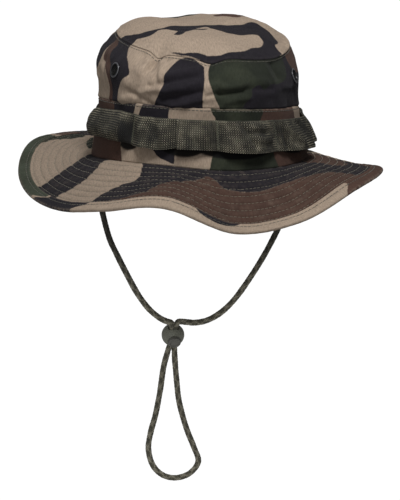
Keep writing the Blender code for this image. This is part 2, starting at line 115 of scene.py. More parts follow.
CORD_LOOP = (
    (-23.65, -0.3, -149.8), (-23.65, 4.1, -158.2), (-25, 5.6, -164), (-28.8, 5.2, -178), (-32, 4, -198),
    (-36, 3, -217.5), (-40.2, 2, -232), (-42.4, 1.2, -246), (-39.2, 0.4, -260), (-31, 0, -269.3),
    (-19.6, 0, -272.6), (-7.8, 0, -269.2), (-0.6, 0.4, -259.5), (-4.2, 1, -247), (-9.5, 1.6, -233),
    (-13.6, 2.4, -219), (-16.6, 3.4, -205), (-18, 4.4, -190), (-19.2, 5.2, -174), (-19.6, 5.5, -164),
    (-19.75, 4.1, -158.2), (-19.75, -0.3, -149.8)
)
TOGGLE_CENTRE = (-21.7, 0.0, -149.2)
TOGGLE_RADIUS = 9.35
PLUNGER_DIP = 28.0
PLUNGER_RADIUS = 5.1
PLUNGER_OUTER_END = 10.6
PLUNGER_INNER_END = -2.3
PLUNGER_TRAVEL = 3.0
TOGGLE_BORE_RADIUS = 5.4
TOGGLE_BORE_END = -5.6
SPRING_POCKET_RADIUS = 3.2
SPRING_POCKET_END = -7.9
SPRING_RADIUS = 2.4
SPRING_WIRE = 0.45
SPRING_TURNS = 3
CORD_HOLE_OFFSET = 0.6

# ---------------------------------------------------------------- sewing and shape of the cloth

BRIM_ROWS = [5.0 + 6.05 * k for k in range(8)]
STITCH = 3.4
THREAD = 0.26
# Rows of stitches: below the band's seam, in from the rim, and above the foot of the sweatband
BAND_STITCH_DROP = 1.7
BINDING_STITCH_ROW = 7.1
SWEATBAND_ROWS = (2, 24)
# Spacing of the webbing's ribs and of its cross threads, and of the cord's braid
RIB_PITCH = 1.75
CROSS_PITCH = 1.8
BRAID_PITCH = 5.2
# Where the webbing is tacked down by two bars side by side
DOUBLE_TACK = -2
VENT_HOLE_RADIUS = 5.1
# Inner and outer edge of the brim's cloth, mm from the crown
BRIM_CLOTH_START = -2.2
BRIM_CLOTH_END = 58.6
# From the top seam to the middle of the top panel
TOP_RADIUS = 78
# Cloth lengths per degree round the wall and round the foot of the crown
SIDE_ARC = 1.5
FOOT_ARC = 1.55
# Points round each ring of cloth
CROWN_STEPS = 480
LINING_STEPS = 360
# Distance above and below the toggle's centre, mm
TOGGLE_GRIP = 13
# Where the top seam has sunk: direction, how far round it reaches and how deep
SEAM_DIPS = ((-41.5, 5.0, 4.4), (-7.0, 8.0, 4.4))
# Tucks along the top seam: direction, how far round it reaches and how deep
SEAM_TUCKS = (
    (-41, 5, 0.8), (-8, 6, 0.8), (-24, 8, -0.8), (12, 8, -0.8), (27, 5, 1.0), (70, 6, 1.0), (160, 6, 1.0),
    (-120, 6, 1.0)
)
# Painted shadow on the band under the webbing's loops: middle, half width in degrees, and how far down, mm
BAND_PAINTED_SHADOWS = ((-20, 9.5, 3.4), (8, 19, 4.2), (-52, 5, 2.0), (52, 12, 2.0))
# Sections of an eyelet and of its washer: distance from the axis, and height above the wall
EYELET_PROFILE = (
    (5.5, 0.35), (6.0, 0.4), (6.02, 0.6), (5.9, 0.85), (5.6, 1.05), (5.2, 1.16), (4.8, 1.12), (4.45, 0.9),
    (4.3, 0.5), (4.3, -3.2), (5.0, -3.2), (5.0, 0.3)
)
WASHER_PROFILE = ((5.3, -2.6), (6.1, -2.6), (6.3, -2.75), (6.3, -2.95), (6.1, -3.1), (5.3, -3.1))
# Rounded rim of the plunger: distance in from its side, and down from its end
PLUNGER_RIM = ((0, 0.7), (0.1, 0.35), (0.35, 0.1), (0.7, 0), (1.1, 0.1), (1.35, 0.45), (1.6, 0.85))
# How far the middle of the brim bows below a straight slope, mm, every 20 degrees
BRIM_BOW = (3.0, 3.4, -1.5, 0.0, 1.0, 0.5, 0.5, 0.8, 0.5, 0.5, 0.8, 0.5, 0.5, 0.8, 1.2, 1.5, 1.0, -2.0)
# Each loop of the webbing: where it starts and ends, degrees; how far it stands off, mm; and
# the share of it over which it rises at its start and falls at its end
WEBBING_LOOPS = (
    (-105, -48, 8.6, 0.45, 0.11), (-48, -23, 4.0, 0.35, 0.55), (-23, -2, 4.2, 0.08, 0.45),
    (-2, 33, 5.2, 0.35, 0.45), (33, 80, 6.0, 0.45, 0.35), (80, 125, 10.5, 0.4, 0.45),
    (125, 170, 5.0, 0.5, 0.5), (170, 213, 5.0, 0.5, 0.5), (213, 255, 5.0, 0.5, 0.5)
)
# Folds of the crown's wall: from and to, as degrees and height; how wide; how far out or in
CROWN_FOLDS = (
    (-44, 88, -46, 74, 2.6, 1.6), (-41, 91, -42, 78, 2.2, -2.2), (-38, 88, -33, 72, 3.0, 1.7),
    (-50, 86, -54, 72, 3.5, -1.0), (-36, 80, -36, 70, 2.2, -1.2), (-58, 54, -44, 56, 3.0, 1.2),
    (-54, 60, -42, 54, 2.2, -1.6), (-46, 60, -34, 64, 2.6, 1.6), (-42, 52, -36, 51, 2.0, -1.4),
    (-40, 66, -32, 68, 2.4, -1.2), (-30, 74, -12, 79, 2.6, 1.5), (-30, 69, -12, 74, 2.0, -1.6),
    (-32, 62, -11, 69, 2.6, 1.6), (-32, 56, -10, 63, 2.2, -1.8), (-26, 51, -10, 57, 2.6, 1.4),
    (-11, 90, -7, 84, 2.4, -2.2), (-16, 89, -16, 84, 2.6, 1.0), (-4, 88, -3, 82, 2.6, 1.2),
    (-7, 60, 0, 62, 2.0, -1.4), (-8, 66, 0, 68, 2.4, 1.0), (0, 61, 14, 62, 2.2, -2.6),
    (0, 66, 16, 67, 2.6, 1.5), (4, 55, 18, 57, 2.6, 1.2), (12, 71, 30, 68, 3.0, 1.2),
    (16, 64, 34, 62, 2.4, -1.2), (30, 80, 36, 68, 3.2, 1.2), (38, 82, 42, 70, 3.0, -1.3),
    (26, 86, 40, 83, 3.0, 1.0), (44, 62, 54, 60, 3.0, 1.0), (-84, 80, -78, 58, 4.0, -1.0),
    (-78, 86, -72, 82, 3.0, 1.0), (84, 82, 92, 60, 4.0, -1.2), (110, 60, 128, 56, 3.5, 1.2),
    (152, 84, 160, 62, 4.0, -1.2), (-150, 62, -132, 56, 3.5, -1.2), (-172, 84, -166, 64, 4.0, 1.1),
    (-100, 88, -96, 66, 4.0, 1.2)
)
WEBBING_FOLDS = (
    (10, 40, 16, 24, 2.6, -2.4), (16, 36, 24, 34, 2.6, 1.8), (14, 27, 28, 25, 2.6, 1.6),
    (18, 31, 30, 30, 1.8, -1.4), (-38, 42, -33, 28, 2.8, -2.0), (-42, 34, -40, 22, 3.0, 1.4),
    (-31, 36, -28, 20, 3.0, 1.2), (-22, 40, -21, 18, 1.6, 1.4), (-14, 26, -6, 16, 2.6, -1.6),
    (-18, 36, -17, 22, 3.0, 1.0), (-8, 40, -6, 30, 2.6, 1.0), (2, 38, 4, 20, 3.0, 1.0),
    (42, 32, 50, 20, 3.0, 1.8), (37, 34, 40, 14, 2.0, -1.4), (52, 34, 58, 24, 2.6, -1.6),
    (-92, 36, -84, 22, 2.4, -1.5), (-84, 40, -78, 26, 3.4, 1.6), (-72, 40, -70, 24, 2.8, -1.4),
    (-64, 34, -60, 20, 3.2, 1.2), (64, 30, 72, 20, 3.0, 1.5), (88, 34, 100, 22, 4.0, -1.6)
)
# How far the webbing's lower and upper edges are drawn up, mm, by direction
WEBBING_LOWER_RISE = (
    (-180, 0), (-110, 0), (-95, 5.5), (-62, 5.5), (-51, 4.5), (-47, 2.2), (-38, 2.8), (-33, 1.4),
    (-28, 2.0), (-22, 3.6), (-12, 3.3), (-4, 2.5), (4, 1.8), (14, 1.2), (60, 1.1), (90, 0), (180, 0)
)
WEBBING_UPPER_RISE = (
    (-180, 0), (-112, 0), (-102, -4), (-92, -2.5), (-82, 1.2), (-57, 2.6), (-49, 1.0), (-44, 0), (68, 0),
    (84, 2.0), (108, 2.0), (128, 0), (180, 0)
)
# Where the webbing is made darker, and where it is made paler as a painted highlight, as lines like
# the folds: the last number is how much darker or paler
WEBBING_DARKER_PATCHES = (
    (-95, 27, -58, 31, 12, 1.0), (-44, 25, -34, 29, 8, 1.1), (-6, 40, -4, 34, 3.5, 0.6),
    (-18, 20, -12, 22, 4, 0.4), (-3, 26, 4, 23, 5, 1.0), (0, 36, 5, 31, 3, 0.4), (33, 32, 34, 18, 2.5, 0.6),
    (56, 34, 60, 20, 3, 0.6), (120, 28, 150, 24, 8, 0.5), (-170, 26, -130, 30, 8, 0.5)
)
WEBBING_SHINE = (
    (10, 26, 19, 31, 2.4, 0.7), (19, 31, 27, 31, 1.6, 0.5), (46, 34, 52, 24, 3, 0.4),
    (-30, 38, -24, 33, 4, 0.5), (-20, 36, -14, 28, 5, 0.35), (-68, 38, -63, 22, 0.9, 0.6),
    (66, 34, 80, 24, 6, 0.3)
)


# ---------------------------------------------------------------- shape of the hat

def bell(distance, width):
    """1 where distance is 0, fading out over a few widths."""
    return np.exp(-(distance / width) ** 2)


def apart(angle, other):
    """Degrees from one direction to another, from -180 to 180."""
    return (angle - other + 180) % 360 - 180


def paired(angle, share):
    return np.broadcast_arrays(np.asarray(angle, float), np.asarray(share, float))


def spline(p0, p1, p2, p3, u):
    """Catmull-Rom value between p1 and p2."""
    return p1 + (p2 - p0 + (p0 * 2 - p1 * 5 + p2 * 4 - p3 + (p1 * 3 - p2 * 3 + p3 - p0) * u) * u) * u * 0.5


def around(table, angle):
    """Value of a table whose entries are evenly spaced round the hat."""
    values = np.asarray(table, float)
    place = np.asarray(angle, float) / 360 * len(values) % len(values)
    first = np.floor(place).astype(int)
    near = [values[(first + k - 1) % len(values)] for k in range(4)]
    return spline(*near, place - first)


def along(table, share):
    """Value of a table whose entries are evenly spaced from 0 to 1."""
    values = np.asarray(table, float)
    last = len(values) - 1
    place = np.clip(share, 0, 1) * last
    first = np.minimum(place.astype(int), last - 1)
    near = [values[np.clip(first + k - 1, 0, last)] for k in range(4)]
    u = place - first
    return spline(*near, u if values.ndim == 1 else u[..., None])


def foot_height(angle):
    return around(JUNCTION_LIFT, angle)


def seam_dip(angle):
    return sum(depth * bell(apart(angle, at), reach) for at, reach, depth in SEAM_DIPS)


def top_seam_height(angle):
    return around(TOP_SEAM_HEIGHT, angle) - seam_dip(np.asarray(angle, float))


def band_seam_height(angle):
    return BAND_SEAM_HEIGHT + BAND_SEAM_TILT * np.cos(np.radians(angle + BAND_SEAM_LOW_SIDE))


def webbing_middle_height(angle):
    return WEBBING_HEIGHT + WEBBING_TILT * np.cos(np.radians(angle + WEBBING_LOW_SIDE))


def crown_share(angle, height):
    return (height - foot_height(angle)) / (top_seam_height(angle) - foot_height(angle))


def crown(angle, share):
    """Points on the outside of the crown's wall."""
    angle, share = paired(angle, share)
    turn = np.radians(angle)
    foot = foot_height(angle)
    shift = TOP_SHIFT * (np.maximum(share - TOP_SHIFT_START, 0) / (1 - TOP_SHIFT_START)) ** 1.5
    return np.stack([along(CROWN_HALF_WIDTH, share) * np.sin(turn) + CROWN_LEAN * share + shift,
                     -along(CROWN_HALF_LENGTH, share) * np.cos(turn),
                     foot + share * (top_seam_height(angle) - foot)], -1)


def crown_top(angle, share):
    """Points on the top panel, from its seam at 0 to its centre at 1."""
    angle, share = paired(angle, share)
    edge = crown(angle, np.ones_like(share))
    centre = np.array((CROWN_LEAN + TOP_SHIFT, 0, TOP_CENTRE_HEIGHT))
    points = edge + (centre - edge) * share[..., None]
    refill = (1 - share) - (1 - share) ** 7
    points[..., 2] += TOP_DOME * (1 - (1 - share) ** 5) + seam_dip(angle) * refill
    return points


def brim(angle, share):
    """Points on the middle of the brim, from the crown at 0 to the rim at 1."""
    angle, share = paired(angle, share)
    turn = np.radians(angle)
    foot = foot_height(angle)
    drop = foot - around(RIM_HEIGHT, angle)
    slope = np.arcsin(drop / (BRIM_WIDTH * (1 - BRIM_BEND / 2)))
    slope = np.where(np.abs(slope) < 1e-4, 1e-4, slope)
    bent = np.clip(share, 0, BRIM_BEND) / BRIM_BEND
    straight = np.maximum(share - BRIM_BEND, 0)
    reach = BRIM_BEND * np.sin(slope * bent) / slope + straight * np.cos(slope) + np.minimum(share, 0)
    fall = BRIM_BEND * (1 - np.cos(slope * bent)) / slope + straight * np.sin(slope)
    bow = around(BRIM_BOW, angle) * np.sin(math.pi * np.clip(share, 0, 1) ** 1.6)
    out = np.stack([np.sin(turn) / HEAD_HALF_WIDTH, -np.cos(turn) / HEAD_HALF_LENGTH], -1)
    out /= np.linalg.norm(out, axis=-1, keepdims=True)
    level = np.stack([HEAD_HALF_WIDTH * np.sin(turn), -HEAD_HALF_LENGTH * np.cos(turn)], -1)
    level = level + out * (reach * BRIM_WIDTH)[..., None]
    height = foot - BRIM_STACK / 2 - GAP - fall * BRIM_WIDTH - bow
    return np.concatenate([level, height[..., None]], -1)


def normals(surface, angle, share):
    round_step = surface(angle + 0.5, share) - surface(angle - 0.5, share)
    up_step = surface(angle, share + 0.01) - surface(angle, share - 0.01)
    out = np.cross(round_step, up_step)
    return out / np.linalg.norm(out, axis=-1, keepdims=True)


def lifted(surface, angle, share, height, side=1):
    """Points of a surface moved along its normal; side is 1 on the crown and -1 on the brim."""
    angle, share = paired(angle, share)
    height = np.broadcast_to(height, angle.shape)
    return surface(angle, share) + normals(surface, angle, share) * (height * side)[..., None]


def on_brim(angle, share, offset):
    return lifted(brim, angle, share, offset, -1)


# ---------------------------------------------------------------- unevenness of sewn cloth

def ripples(points, scale, seed, stretch=(1, 1, 1), count=20):
    """Smooth seeded unevenness, about 1 high, with waves about as long as scale."""
    draw = np.random.default_rng(seed)
    total = np.zeros(points.shape[:-1])
    for _ in range(count):
        heading = draw.normal(size=3)
        heading /= np.linalg.norm(heading) * scale * draw.uniform(0.6, 1.6)
        phase = draw.uniform(0, 2 * math.pi)
        total += np.sin((points * stretch) @ heading * 2 * math.pi + phase)
    return total / math.sqrt(count / 2)


def smooth(low, high, value):
    place = np.clip((value - low) / (high - low), 0, 1)
    return place * place * (3 - 2 * place)


def folds(angle, height, rows, arc=FOOT_ARC):
    """Long soft ridges and hollows, each along a short line on the wall."""
    total = np.zeros(np.broadcast(angle, height).shape)
    for start, low, end, high, width, out in rows:
        run, rise = (end - start) * arc, high - low
        across = apart(angle, start) * arc
        place = (across * run + (height - low) * rise) / (run * run + rise * rise)
        near = np.clip(place, 0, 1)
        total += out * bell(np.hypot(across - near * run, height - low - near * rise), width)
    return total


def vent_clearance(points):
    """0 at a vent and 1 well away from one."""
    clear = np.ones(points.shape[:-1])
    for angle, height in VENTS.values():
        centre = crown(angle, crown_share(angle, height))
        clear *= smooth(6.5, 13, np.linalg.norm(points - centre, axis=-1))
    return clear


def wall_relief(angle, height):
    """How far the crown's wall stands out from its smooth shape."""
    points = crown(angle, crown_share(angle, height))
    seam = height - band_seam_height(angle)
    top = top_seam_height(angle) - height
    relief = 0.6 * ripples(points, 46, 3, (1, 1, 0.5)) + 0.24 * ripples(points, 15, 4)
    relief += folds(angle, height, CROWN_FOLDS)
    relief += 0.22 * ripples(points, 8, 5, (1, 1, 0.15)) * (bell(seam, 5) + bell(top, 4))
    return relief * vent_clearance(points) * smooth(-1, 3, seam + 2) * smooth(0, 4, top)


def side_face(angle, height):
    """Height of the side panel's face above the smooth wall: it turns in at both seams."""
    foot_turn = 0.9 * (1 - smooth(-0.4, 1.3, height - band_seam_height(angle)))
    top_turn = 0.15 * (1 - smooth(0.1, 1.2, top_seam_height(angle) - height)) ** 2
    return wall_relief(angle, height) - foot_turn - top_turn


def band_face(angle, height):
    """Height of the band's face: it bulges out along its seam and turns in at its top edge."""
    points = crown(angle, crown_share(angle, height))
    seam = band_seam_height(angle) - height
    foot = height - foot_height(angle)
    relief = 0.2 * ripples(points, 26, 6) + 0.12 * ripples(points, 8, 7, (1, 1, 0.2)) * bell(seam, 4)
    relief -= 0.3 * bell(seam - BAND_STITCH_DROP, 0.6)
    lip = 0.75 * smooth(9, 2, seam) - 0.9 * (1 - smooth(0, 0.7, seam)) ** 2
    return -PANEL - GAP + relief * smooth(0, 3, foot) * 0.6 + lip


def top_relief(angle, share):
    """How far the top panel stands up from its smooth shape."""
    points = crown_top(angle, share)
    x, y = points[..., 0], points[..., 1]
    relief = 0.5 * ripples(points, 42, 8) + 0.18 * ripples(points, 14, 9)
    relief += 0.9 * bell(x - 38, 14) * smooth(-30, 10, y)
    relief -= 2.4 * bell(x - 68, 11) * smooth(-40, 10, y)
    relief -= 2.2 * bell(x + 4, 26) * smooth(-60, 0, y)
    edge = share * TOP_RADIUS
    relief += 0.3 * ripples(points, 9, 10) * bell(edge, 5)
    for at, reach, depth in SEAM_TUCKS:
        relief -= depth * np.exp(-(apart(angle, at) * 1.4 / reach) ** 2 - (edge / 9) ** 2)
    return relief * smooth(0, 3, edge) - 0.2 * (1 - smooth(0.1, 1.0, edge)) ** 2


def quilting(angle, share):
    """Thickness added to each side of the brim: pinched at the stitching, puffed between."""
    points = brim(angle, share)
    across = share * BRIM_WIDTH
    relief = 0.26 + 0.13 * ripples(points, 11, 11) + 0.08 * ripples(points, 5, 12)
    for row in BRIM_ROWS:
        relief = relief - 0.62 * bell(across - row, 0.8)
    return relief * (1 - smooth(54, 57, across)) - 0.25 * smooth(56, 58, across)


# ---------------------------------------------------------------- camouflage print

# Distances from a printed shape are measured up to this far, mm
FAR = 12.0
# The underside shows the brim's print mirrored about this direction
UNDER_TURN = 47.0


def outline(points, steps=7):
    """Smooth closed line through a few points."""
    knots = np.array(points, float)
    u = np.linspace(0, 1, steps, endpoint=False)[:, None]
    near = [np.roll(knots, 1 - k, 0) for k in range(4)]
    return np.concatenate([spline(*(side[k] for side in near), u) for k in range(len(knots))])


def signed_distance(at, line):
    """Distance from points to a closed line, negative inside."""
    nearest = np.full(len(at), np.inf)
    inside = np.zeros(len(at), bool)
    for a, b in zip(line, np.roll(line, -1, 0)):
        side = b - a
        place = np.clip((at - a) @ side / max(side @ side, 1e-9), 0, 1)
        nearest = np.minimum(nearest, ((at - a - place[:, None] * side) ** 2).sum(1))
        if a[1] != b[1]:
            crosses = (a[1] > at[:, 1]) != (b[1] > at[:, 1])
            inside ^= crosses & (at[:, 0] < side[0] * (at[:, 1] - a[1]) / side[1] + a[0])
    return np.sqrt(nearest) * np.where(inside, -1, 1)


def print_field(at, blobs, arc, wraps):
    """Distance to the nearest of some printed shapes; arc is mm per unit across."""
    field = np.full(len(at), FAR)
    scale = np.array((arc, 1.0))
    for blob in blobs:
        for shift in (-360, 0, 360) if wraps else (0,):
            line = (outline(blob) + (shift, 0)) * scale
            low, high = line.min(0) - FAR, line.max(0) + FAR
            close = ((at * scale > low) & (at * scale < high)).all(1)
            if close.any():
                field[close] = np.minimum(field[close], signed_distance(at[close] * scale, line))
    return field


SIDE_PRINT = {
    "brown": (
        ((-88, 102), (-74, 103), (-68, 90), (-66, 70), (-66, 40), (-73, 40), (-72, 56), (-73, 64),
        (-76, 72), (-81, 77), (-88, 80), (-89, 90)), ((55, 96), (60, 100), (74, 94), (84, 88), (88, 76),
        (82, 68), (66, 68), (57, 74), (56, 84)), ((118, 62), (132, 69), (148, 66), (160, 56), (158, 42),
        (138, 38), (116, 40)), ((-150, 102), (-132, 103), (-126, 92), (-132, 80), (-146, 78), (-154, 88))),
    "green": (
        ((-6.5, 92), (-7, 80), (-6, 73), (-4.5, 66), (-2.5, 58), (0, 50), (2, 40), (24, 40), (44, 44),
        (54, 60), (54, 96), (30, 99), (8, 98)), ((104, 102), (126, 104), (138, 92), (133, 78), (120, 70),
        (108, 74), (109, 88)), ((168, 80), (180, 90), (196, 90), (208, 78), (200, 62), (184, 54),
        (170, 62)), ((-120, 44), (-118, 56), (-109, 62), (-102, 52), (-106, 40))),
    "black": (
        ((-40, 44), (-37, 53), (-35, 58), (-32, 64), (-31, 70), (-29.5, 76), (-28.5, 81), (-26.5, 85),
        (-22, 86.5), (-17.5, 85.5), (-13, 82), (-10, 79), (-8.5, 74), (-8, 70), (-9, 62), (-9.5, 52),
        (-10, 42), (-26, 40)), ((-82, 103), (-84, 96), (-79, 90), (-75, 82), (-71, 75), (-70, 66),
        (-69, 56), (-69, 40), (-63, 40), (-63, 56), (-61, 63), (-58, 68), (-54, 73), (-56, 80), (-61, 85),
        (-66, 92), (-64, 103)), ((-100, 103), (-89, 104), (-89, 92), (-91, 84), (-92, 76), (-96, 70),
        (-103, 74), (-106, 88)), ((13, 40), (14, 50), (16, 55), (19, 59), (20, 64), (24, 66), (28, 62.5),
        (33, 65.5), (39, 65), (45, 66), (50, 69), (53, 75), (52, 84), (53, 94), (57, 92), (57, 82),
        (62, 72), (70, 68), (80, 66), (86, 56), (80, 38), (40, 36)), ((96, 98), (104, 100), (112, 88),
        (106, 76), (112, 66), (108, 54), (101, 48), (97, 58), (101, 72), (95, 84)), ((142, 96), (156, 99),
        (168, 90), (164, 78), (150, 72), (141, 82)), ((172, 48), (186, 50), (204, 58), (220, 66), (226, 54),
        (216, 40), (190, 38)), ((-136, 80), (-126, 84), (-118, 74), (-122, 60), (-134, 54), (-143, 62))),
}
BAND_PRINT = {
    "brown": (
        ((-96, 62), (-66, 62), (-66, 40), (-60, 28), (-57.5, 20), (-57.5, -8), (-98, -8), (-94, 24)),
        ((26.5, 62), (56, 64), (57, 42), (62, 30), (72, 14), (74, -8), (30.5, -8), (30.5, 12), (28, 26),
        (24, 38)), ((128, 60), (150, 56), (156, 34), (146, 12), (130, 16), (124, 36)), ((-142, 24),
        (-128, 30), (-118, 18), (-122, -6), (-140, -6))),
    "green": (
        ((-7, 62), (-5.5, 52), (-4, 46), (-2.5, 42), (-3, 30), (-4.5, 17), (-6, 7), (-6, -8), (31, -8),
        (31, 12), (28.5, 26), (25, 38), (27, 46), (27, 62)), ((84, 30), (96, 40), (112, 34), (116, 12),
        (104, -6), (86, -4), (80, 14)), ((176, 60), (204, 60), (208, 38), (194, 22), (178, 30))),
    "black": (
        ((-66, 62), (-47.6, 62), (-48.8, 51), (-50.6, 42), (-54, 30), (-62, 30), (-66.5, 42)), ((-42.5, 62),
        (-28, 62), (-28.5, 42), (-26, 32), (-24.5, 20), (-24.2, 9.5), (-25.5, 9), (-29, 11), (-33, 13.5),
        (-36, 18), (-40, 25), (-46.5, 36), (-46.8, 43), (-44, 52)), ((82, 6), (86, 15), (95, 20), (105, 17),
        (113, 6), (105, -8), (87, -8)), ((98, 60), (112, 62), (118, 46), (108, 40), (98, 48)), ((152, 20),
        (166, 26), (182, 14), (176, -6), (156, -6)), ((-162, 60), (-144, 60), (-140, 40), (-152, 30),
        (-166, 40)), ((-112, 60), (-100, 60), (-99, 42), (-106, 34), (-114, 44))),
}
TOP_RING = (
    (-80, -30), (-69, -19), (-62, -13), (-56, -19), (-51, -23), (-46, -24), (-40, -24), (-33, -22),
    (-26, -17), (-19, -15), (-13, -13), (-4, -8), (5, -5), (12, -5), (20, -6), (28, -6), (34, -5), (40, 0),
    (45, 1), (49, -3), (53, -9), (55, -17), (57, -26), (57, -32), (55, -38), (52, -43), (53, -46),
    (56, -50), (54, -56), (66, -64), (66, -74), (50, -84), (20, -98), (-4, -100), (-40, -94), (-84, -50)
)
TOP_ISLAND = (
    (-64, -40), (-58, -34), (-54, -31), (-51, -33), (-46, -35), (-43, -35), (-39, -31), (-36, -28),
    (-31, -28), (-27, -31), (-23, -35), (-25, -39), (-27, -43), (-24, -46), (-20, -43), (-16, -35),
    (-11, -30), (-6, -28.5), (-1, -29), (2, -28), (2, -25), (-3, -24), (-6, -22), (-3, -20), (3, -19),
    (6, -25), (11, -30), (18, -36), (25, -40), (32, -37), (39, -36), (41, -41), (42, -46), (38, -55),
    (30, -61), (24, -68), (17, -73), (7, -76), (3, -77), (-2, -76), (-8, -75), (-15, -73), (-24, -72),
    (-35, -65), (-27, -72), (-23, -74), (-19, -76), (-15, -78), (-13, -80), (-14, -96), (-50, -94),
    (-80, -60)
)
TOP_PRINT = {
    "brown": (
        ((18, 36), (22, 24), (27, 16), (33, 11), (38, 19), (42, 28), (47, 40), (40, 54), (26, 50)),
        ((-76, 40), (-60, 52), (-48, 70), (-60, 84), (-84, 70))),
    "green": (
        ((-34, 54), (-18, 72), (2, 76), (14, 66), (2, 52), (-20, 44)), ((-90, 4), (-72, 16), (-66, 34),
        (-80, 36), (-96, 24))),
    "black": (
        TOP_RING, ((-8, 96), (4, 82), (22, 78), (36, 88), (24, 100))),
}
BRIM_PRINT = {
    "brown": (
        ((-46, 49.5), (-32, 45), (-27, 40), (-25, 33), (-22, 27), (-17, 22), (-12, 15), (-8, 8.5),
        (-4.5, 11), (-1, 17), (6, 19.5), (15, 20.5), (24, 19), (33, 21), (40, 25), (44, 30), (48, 37),
        (50, 46), (50, 64), (10, 66), (-30, 60)), ((55, 3), (59, 12), (59, 24), (65, 31), (74, 29),
        (81, 18), (83, 4), (75, -5), (62, -5)), ((74, 44), (84, 40), (94, 46), (98, 64), (72, 64)),
        ((118, -6), (126, 10), (140, 18), (152, 10), (154, -6)), ((160, 40), (172, 34), (186, 40),
        (190, 64), (160, 64)), ((-158, -6), (-154, 12), (-146, 18), (-139, 10), (-140, -6)), ((-172, 44),
        (-162, 36), (-152, 44), (-152, 64), (-172, 64))),
    "green": (
        ((-112, 64), (-108, 52), (-100, 53), (-90, 52), (-83, 53), (-79, 64)), ((-119, 52), (-124, 58),
        (-128, 66), (-140, 66), (-143, 50), (-145.5, 43), (-137, 34), (-130.5, 36.5), (-127.5, 42.5),
        (-122.5, 47)), ((96, -6), (98, 14), (106, 28), (116, 22), (114, 4), (110, -6)), ((126, 64),
        (130, 44), (142, 36), (152, 46), (150, 64)), ((172, -6), (178, 12), (192, 20), (204, 10),
        (202, -6)), ((-142, 29), (-136, 24), (-130.5, 19), (-118.5, 8.5), (-113, 2.5), (-122, 5),
        (-132, 14), (-140, 24))),
    "black": (
        ((-84, 66), (-83.5, 51.5), (-82.5, 44.5), (-84, 35), (-85.5, 24.5), (-87.5, 14), (-91, 5),
        (-95, -6), (-67, -6), (-65.5, 6), (-64, 12), (-64, 24), (-65, 32), (-66.5, 39), (-68, 46),
        (-67, 52), (-67, 66)), ((-49, 66), (-48, 50), (-47, 41), (-44, 33), (-41, 27), (-37, 24), (-36, 19),
        (-37, 12), (-39, 4), (-40, -6), (0, -10), (40, -8), (62, -8), (80, -6), (86, 10), (80, 30),
        (80, 50), (74, 66), (40, 70), (0, 70)), ((100, 66), (102, 46), (110, 36), (118, 44), (120, 66)),
        ((140, -6), (142, 8), (156, 24), (168, 20), (166, 4), (160, -6)), ((196, 66), (194, 44), (204, 30),
        (216, 36), (214, 66)), ((-146, -8), (-150, 8), (-160, 20), (-168, 10), (-164, -8)), ((-176, 66),
        (-176, 50), (-170, 42), (-162, 48), (-162, 66))),
}
# The binding's print goes by the angle and the distance from the rim, plus above, minus below
BINDING_PRINT = {
    "brown": (
        ((42, 18), (41, 8), (37, 0), (35, -16), (94, -16), (97, 18)), ((160, 18), (162, -16), (186, -16),
        (190, 18)), ((-150, 18), (-148, -16), (-134, -16), (-136, 18))),
    "green": (
        ((-126, 18), (-124, -16), (-79.5, -16), (-79, 0), (-76, 4), (-72.5, 7.5), (-72, 11), (-72, 18)),
        ((126, 18), (128, -16), (150, -16), (152, 18))),
    "black": (
        ((-70.5, 18), (-70.5, 9), (-73, 5.5), (-77, 0), (-77.5, -16), (-57, -16), (-54, 0), (-49, 7),
        (-46.5, 12), (-46, 18)), ((-12.5, 18), (-11.5, 9), (-8, 5), (-3, 5), (1, 8), (4, 13), (4, 18)),
        ((100, 18), (98, -16), (114, -16), (118, 18)), ((196, 18), (194, -16), (212, -16), (214, 18))),
}


def camouflage(mesh, across, up, prints, arc=SIDE_ARC, wraps=True):
    """Store how far each point is from each printed colour, mm, negative inside it."""
    at = np.stack([np.ravel(across), np.ravel(up)], -1)
    fields = {colour: print_field(at, blobs, arc, wraps) for colour, blobs in prints.items()}
    if prints is TOP_PRINT:
        island = signed_distance(at, outline(TOP_ISLAND))
        fields["black"] = np.maximum(fields["black"], -island)
    if prints is BRIM_PRINT:
        fields["black"] = np.maximum(fields["black"], -fields["brown"])
    for colour, field in fields.items():
        store(mesh, "to_" + colour, field)


def store(mesh, name, values):
    data = mesh.attributes.new(name, 'FLOAT', 'POINT').data
    data.foreach_set("value", np.ravel(values).astype(np.float32))


# ---------------------------------------------------------------- mesh tools

@contextlib.contextmanager
def edited(mesh):
    """A bmesh of the mesh, which is written back at the end."""
    work = bmesh.new()
    work.from_mesh(mesh)
    yield work
    work.to_mesh(mesh)
    work.free()


def run_along(line):
    """Distance along a line to each of its points."""
    return np.concatenate([[0], np.cumsum(np.linalg.norm(np.diff(line, axis=0), axis=1))])


def add_object(name, mesh, material=None):
    thing = bpy.data.objects.new(name, mesh)
    bpy.context.scene.collection.objects.link(thing)
    if material:
        mesh.materials.append(material)
    return thing


def stands_for(thing, node, body):
    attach(thing, body)
    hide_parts(node)


def mesh_from(name, points, faces, uv=None):
    """Mesh in metres from points in millimetres; uv is one pair for each corner of each face."""
    mesh = bpy.data.meshes.new(name)
    mesh.from_pydata((np.asarray(points).reshape(-1, 3) * MM).tolist(), [], faces)
    if uv is not None:
        corners = (np.asarray(uv) * MM).astype(np.float32).ravel()
        mesh.uv_layers.new(name="cloth").data.foreach_set("uv", corners)
    mesh.update()
    mesh.shade_smooth()
    return mesh


def quads(rows, columns, closed):
    """Corner rows and columns of a grid's faces; the columns aren't wrapped."""
    steps = columns if closed else columns - 1
    row, column = np.meshgrid(np.arange(rows - 1), np.arange(steps), indexing='ij')
    row, column = row.ravel(), column.ravel()
    return (np.stack([row, row, row + 1, row + 1], 1),
            np.stack([column, column + 1, column + 1, column], 1))


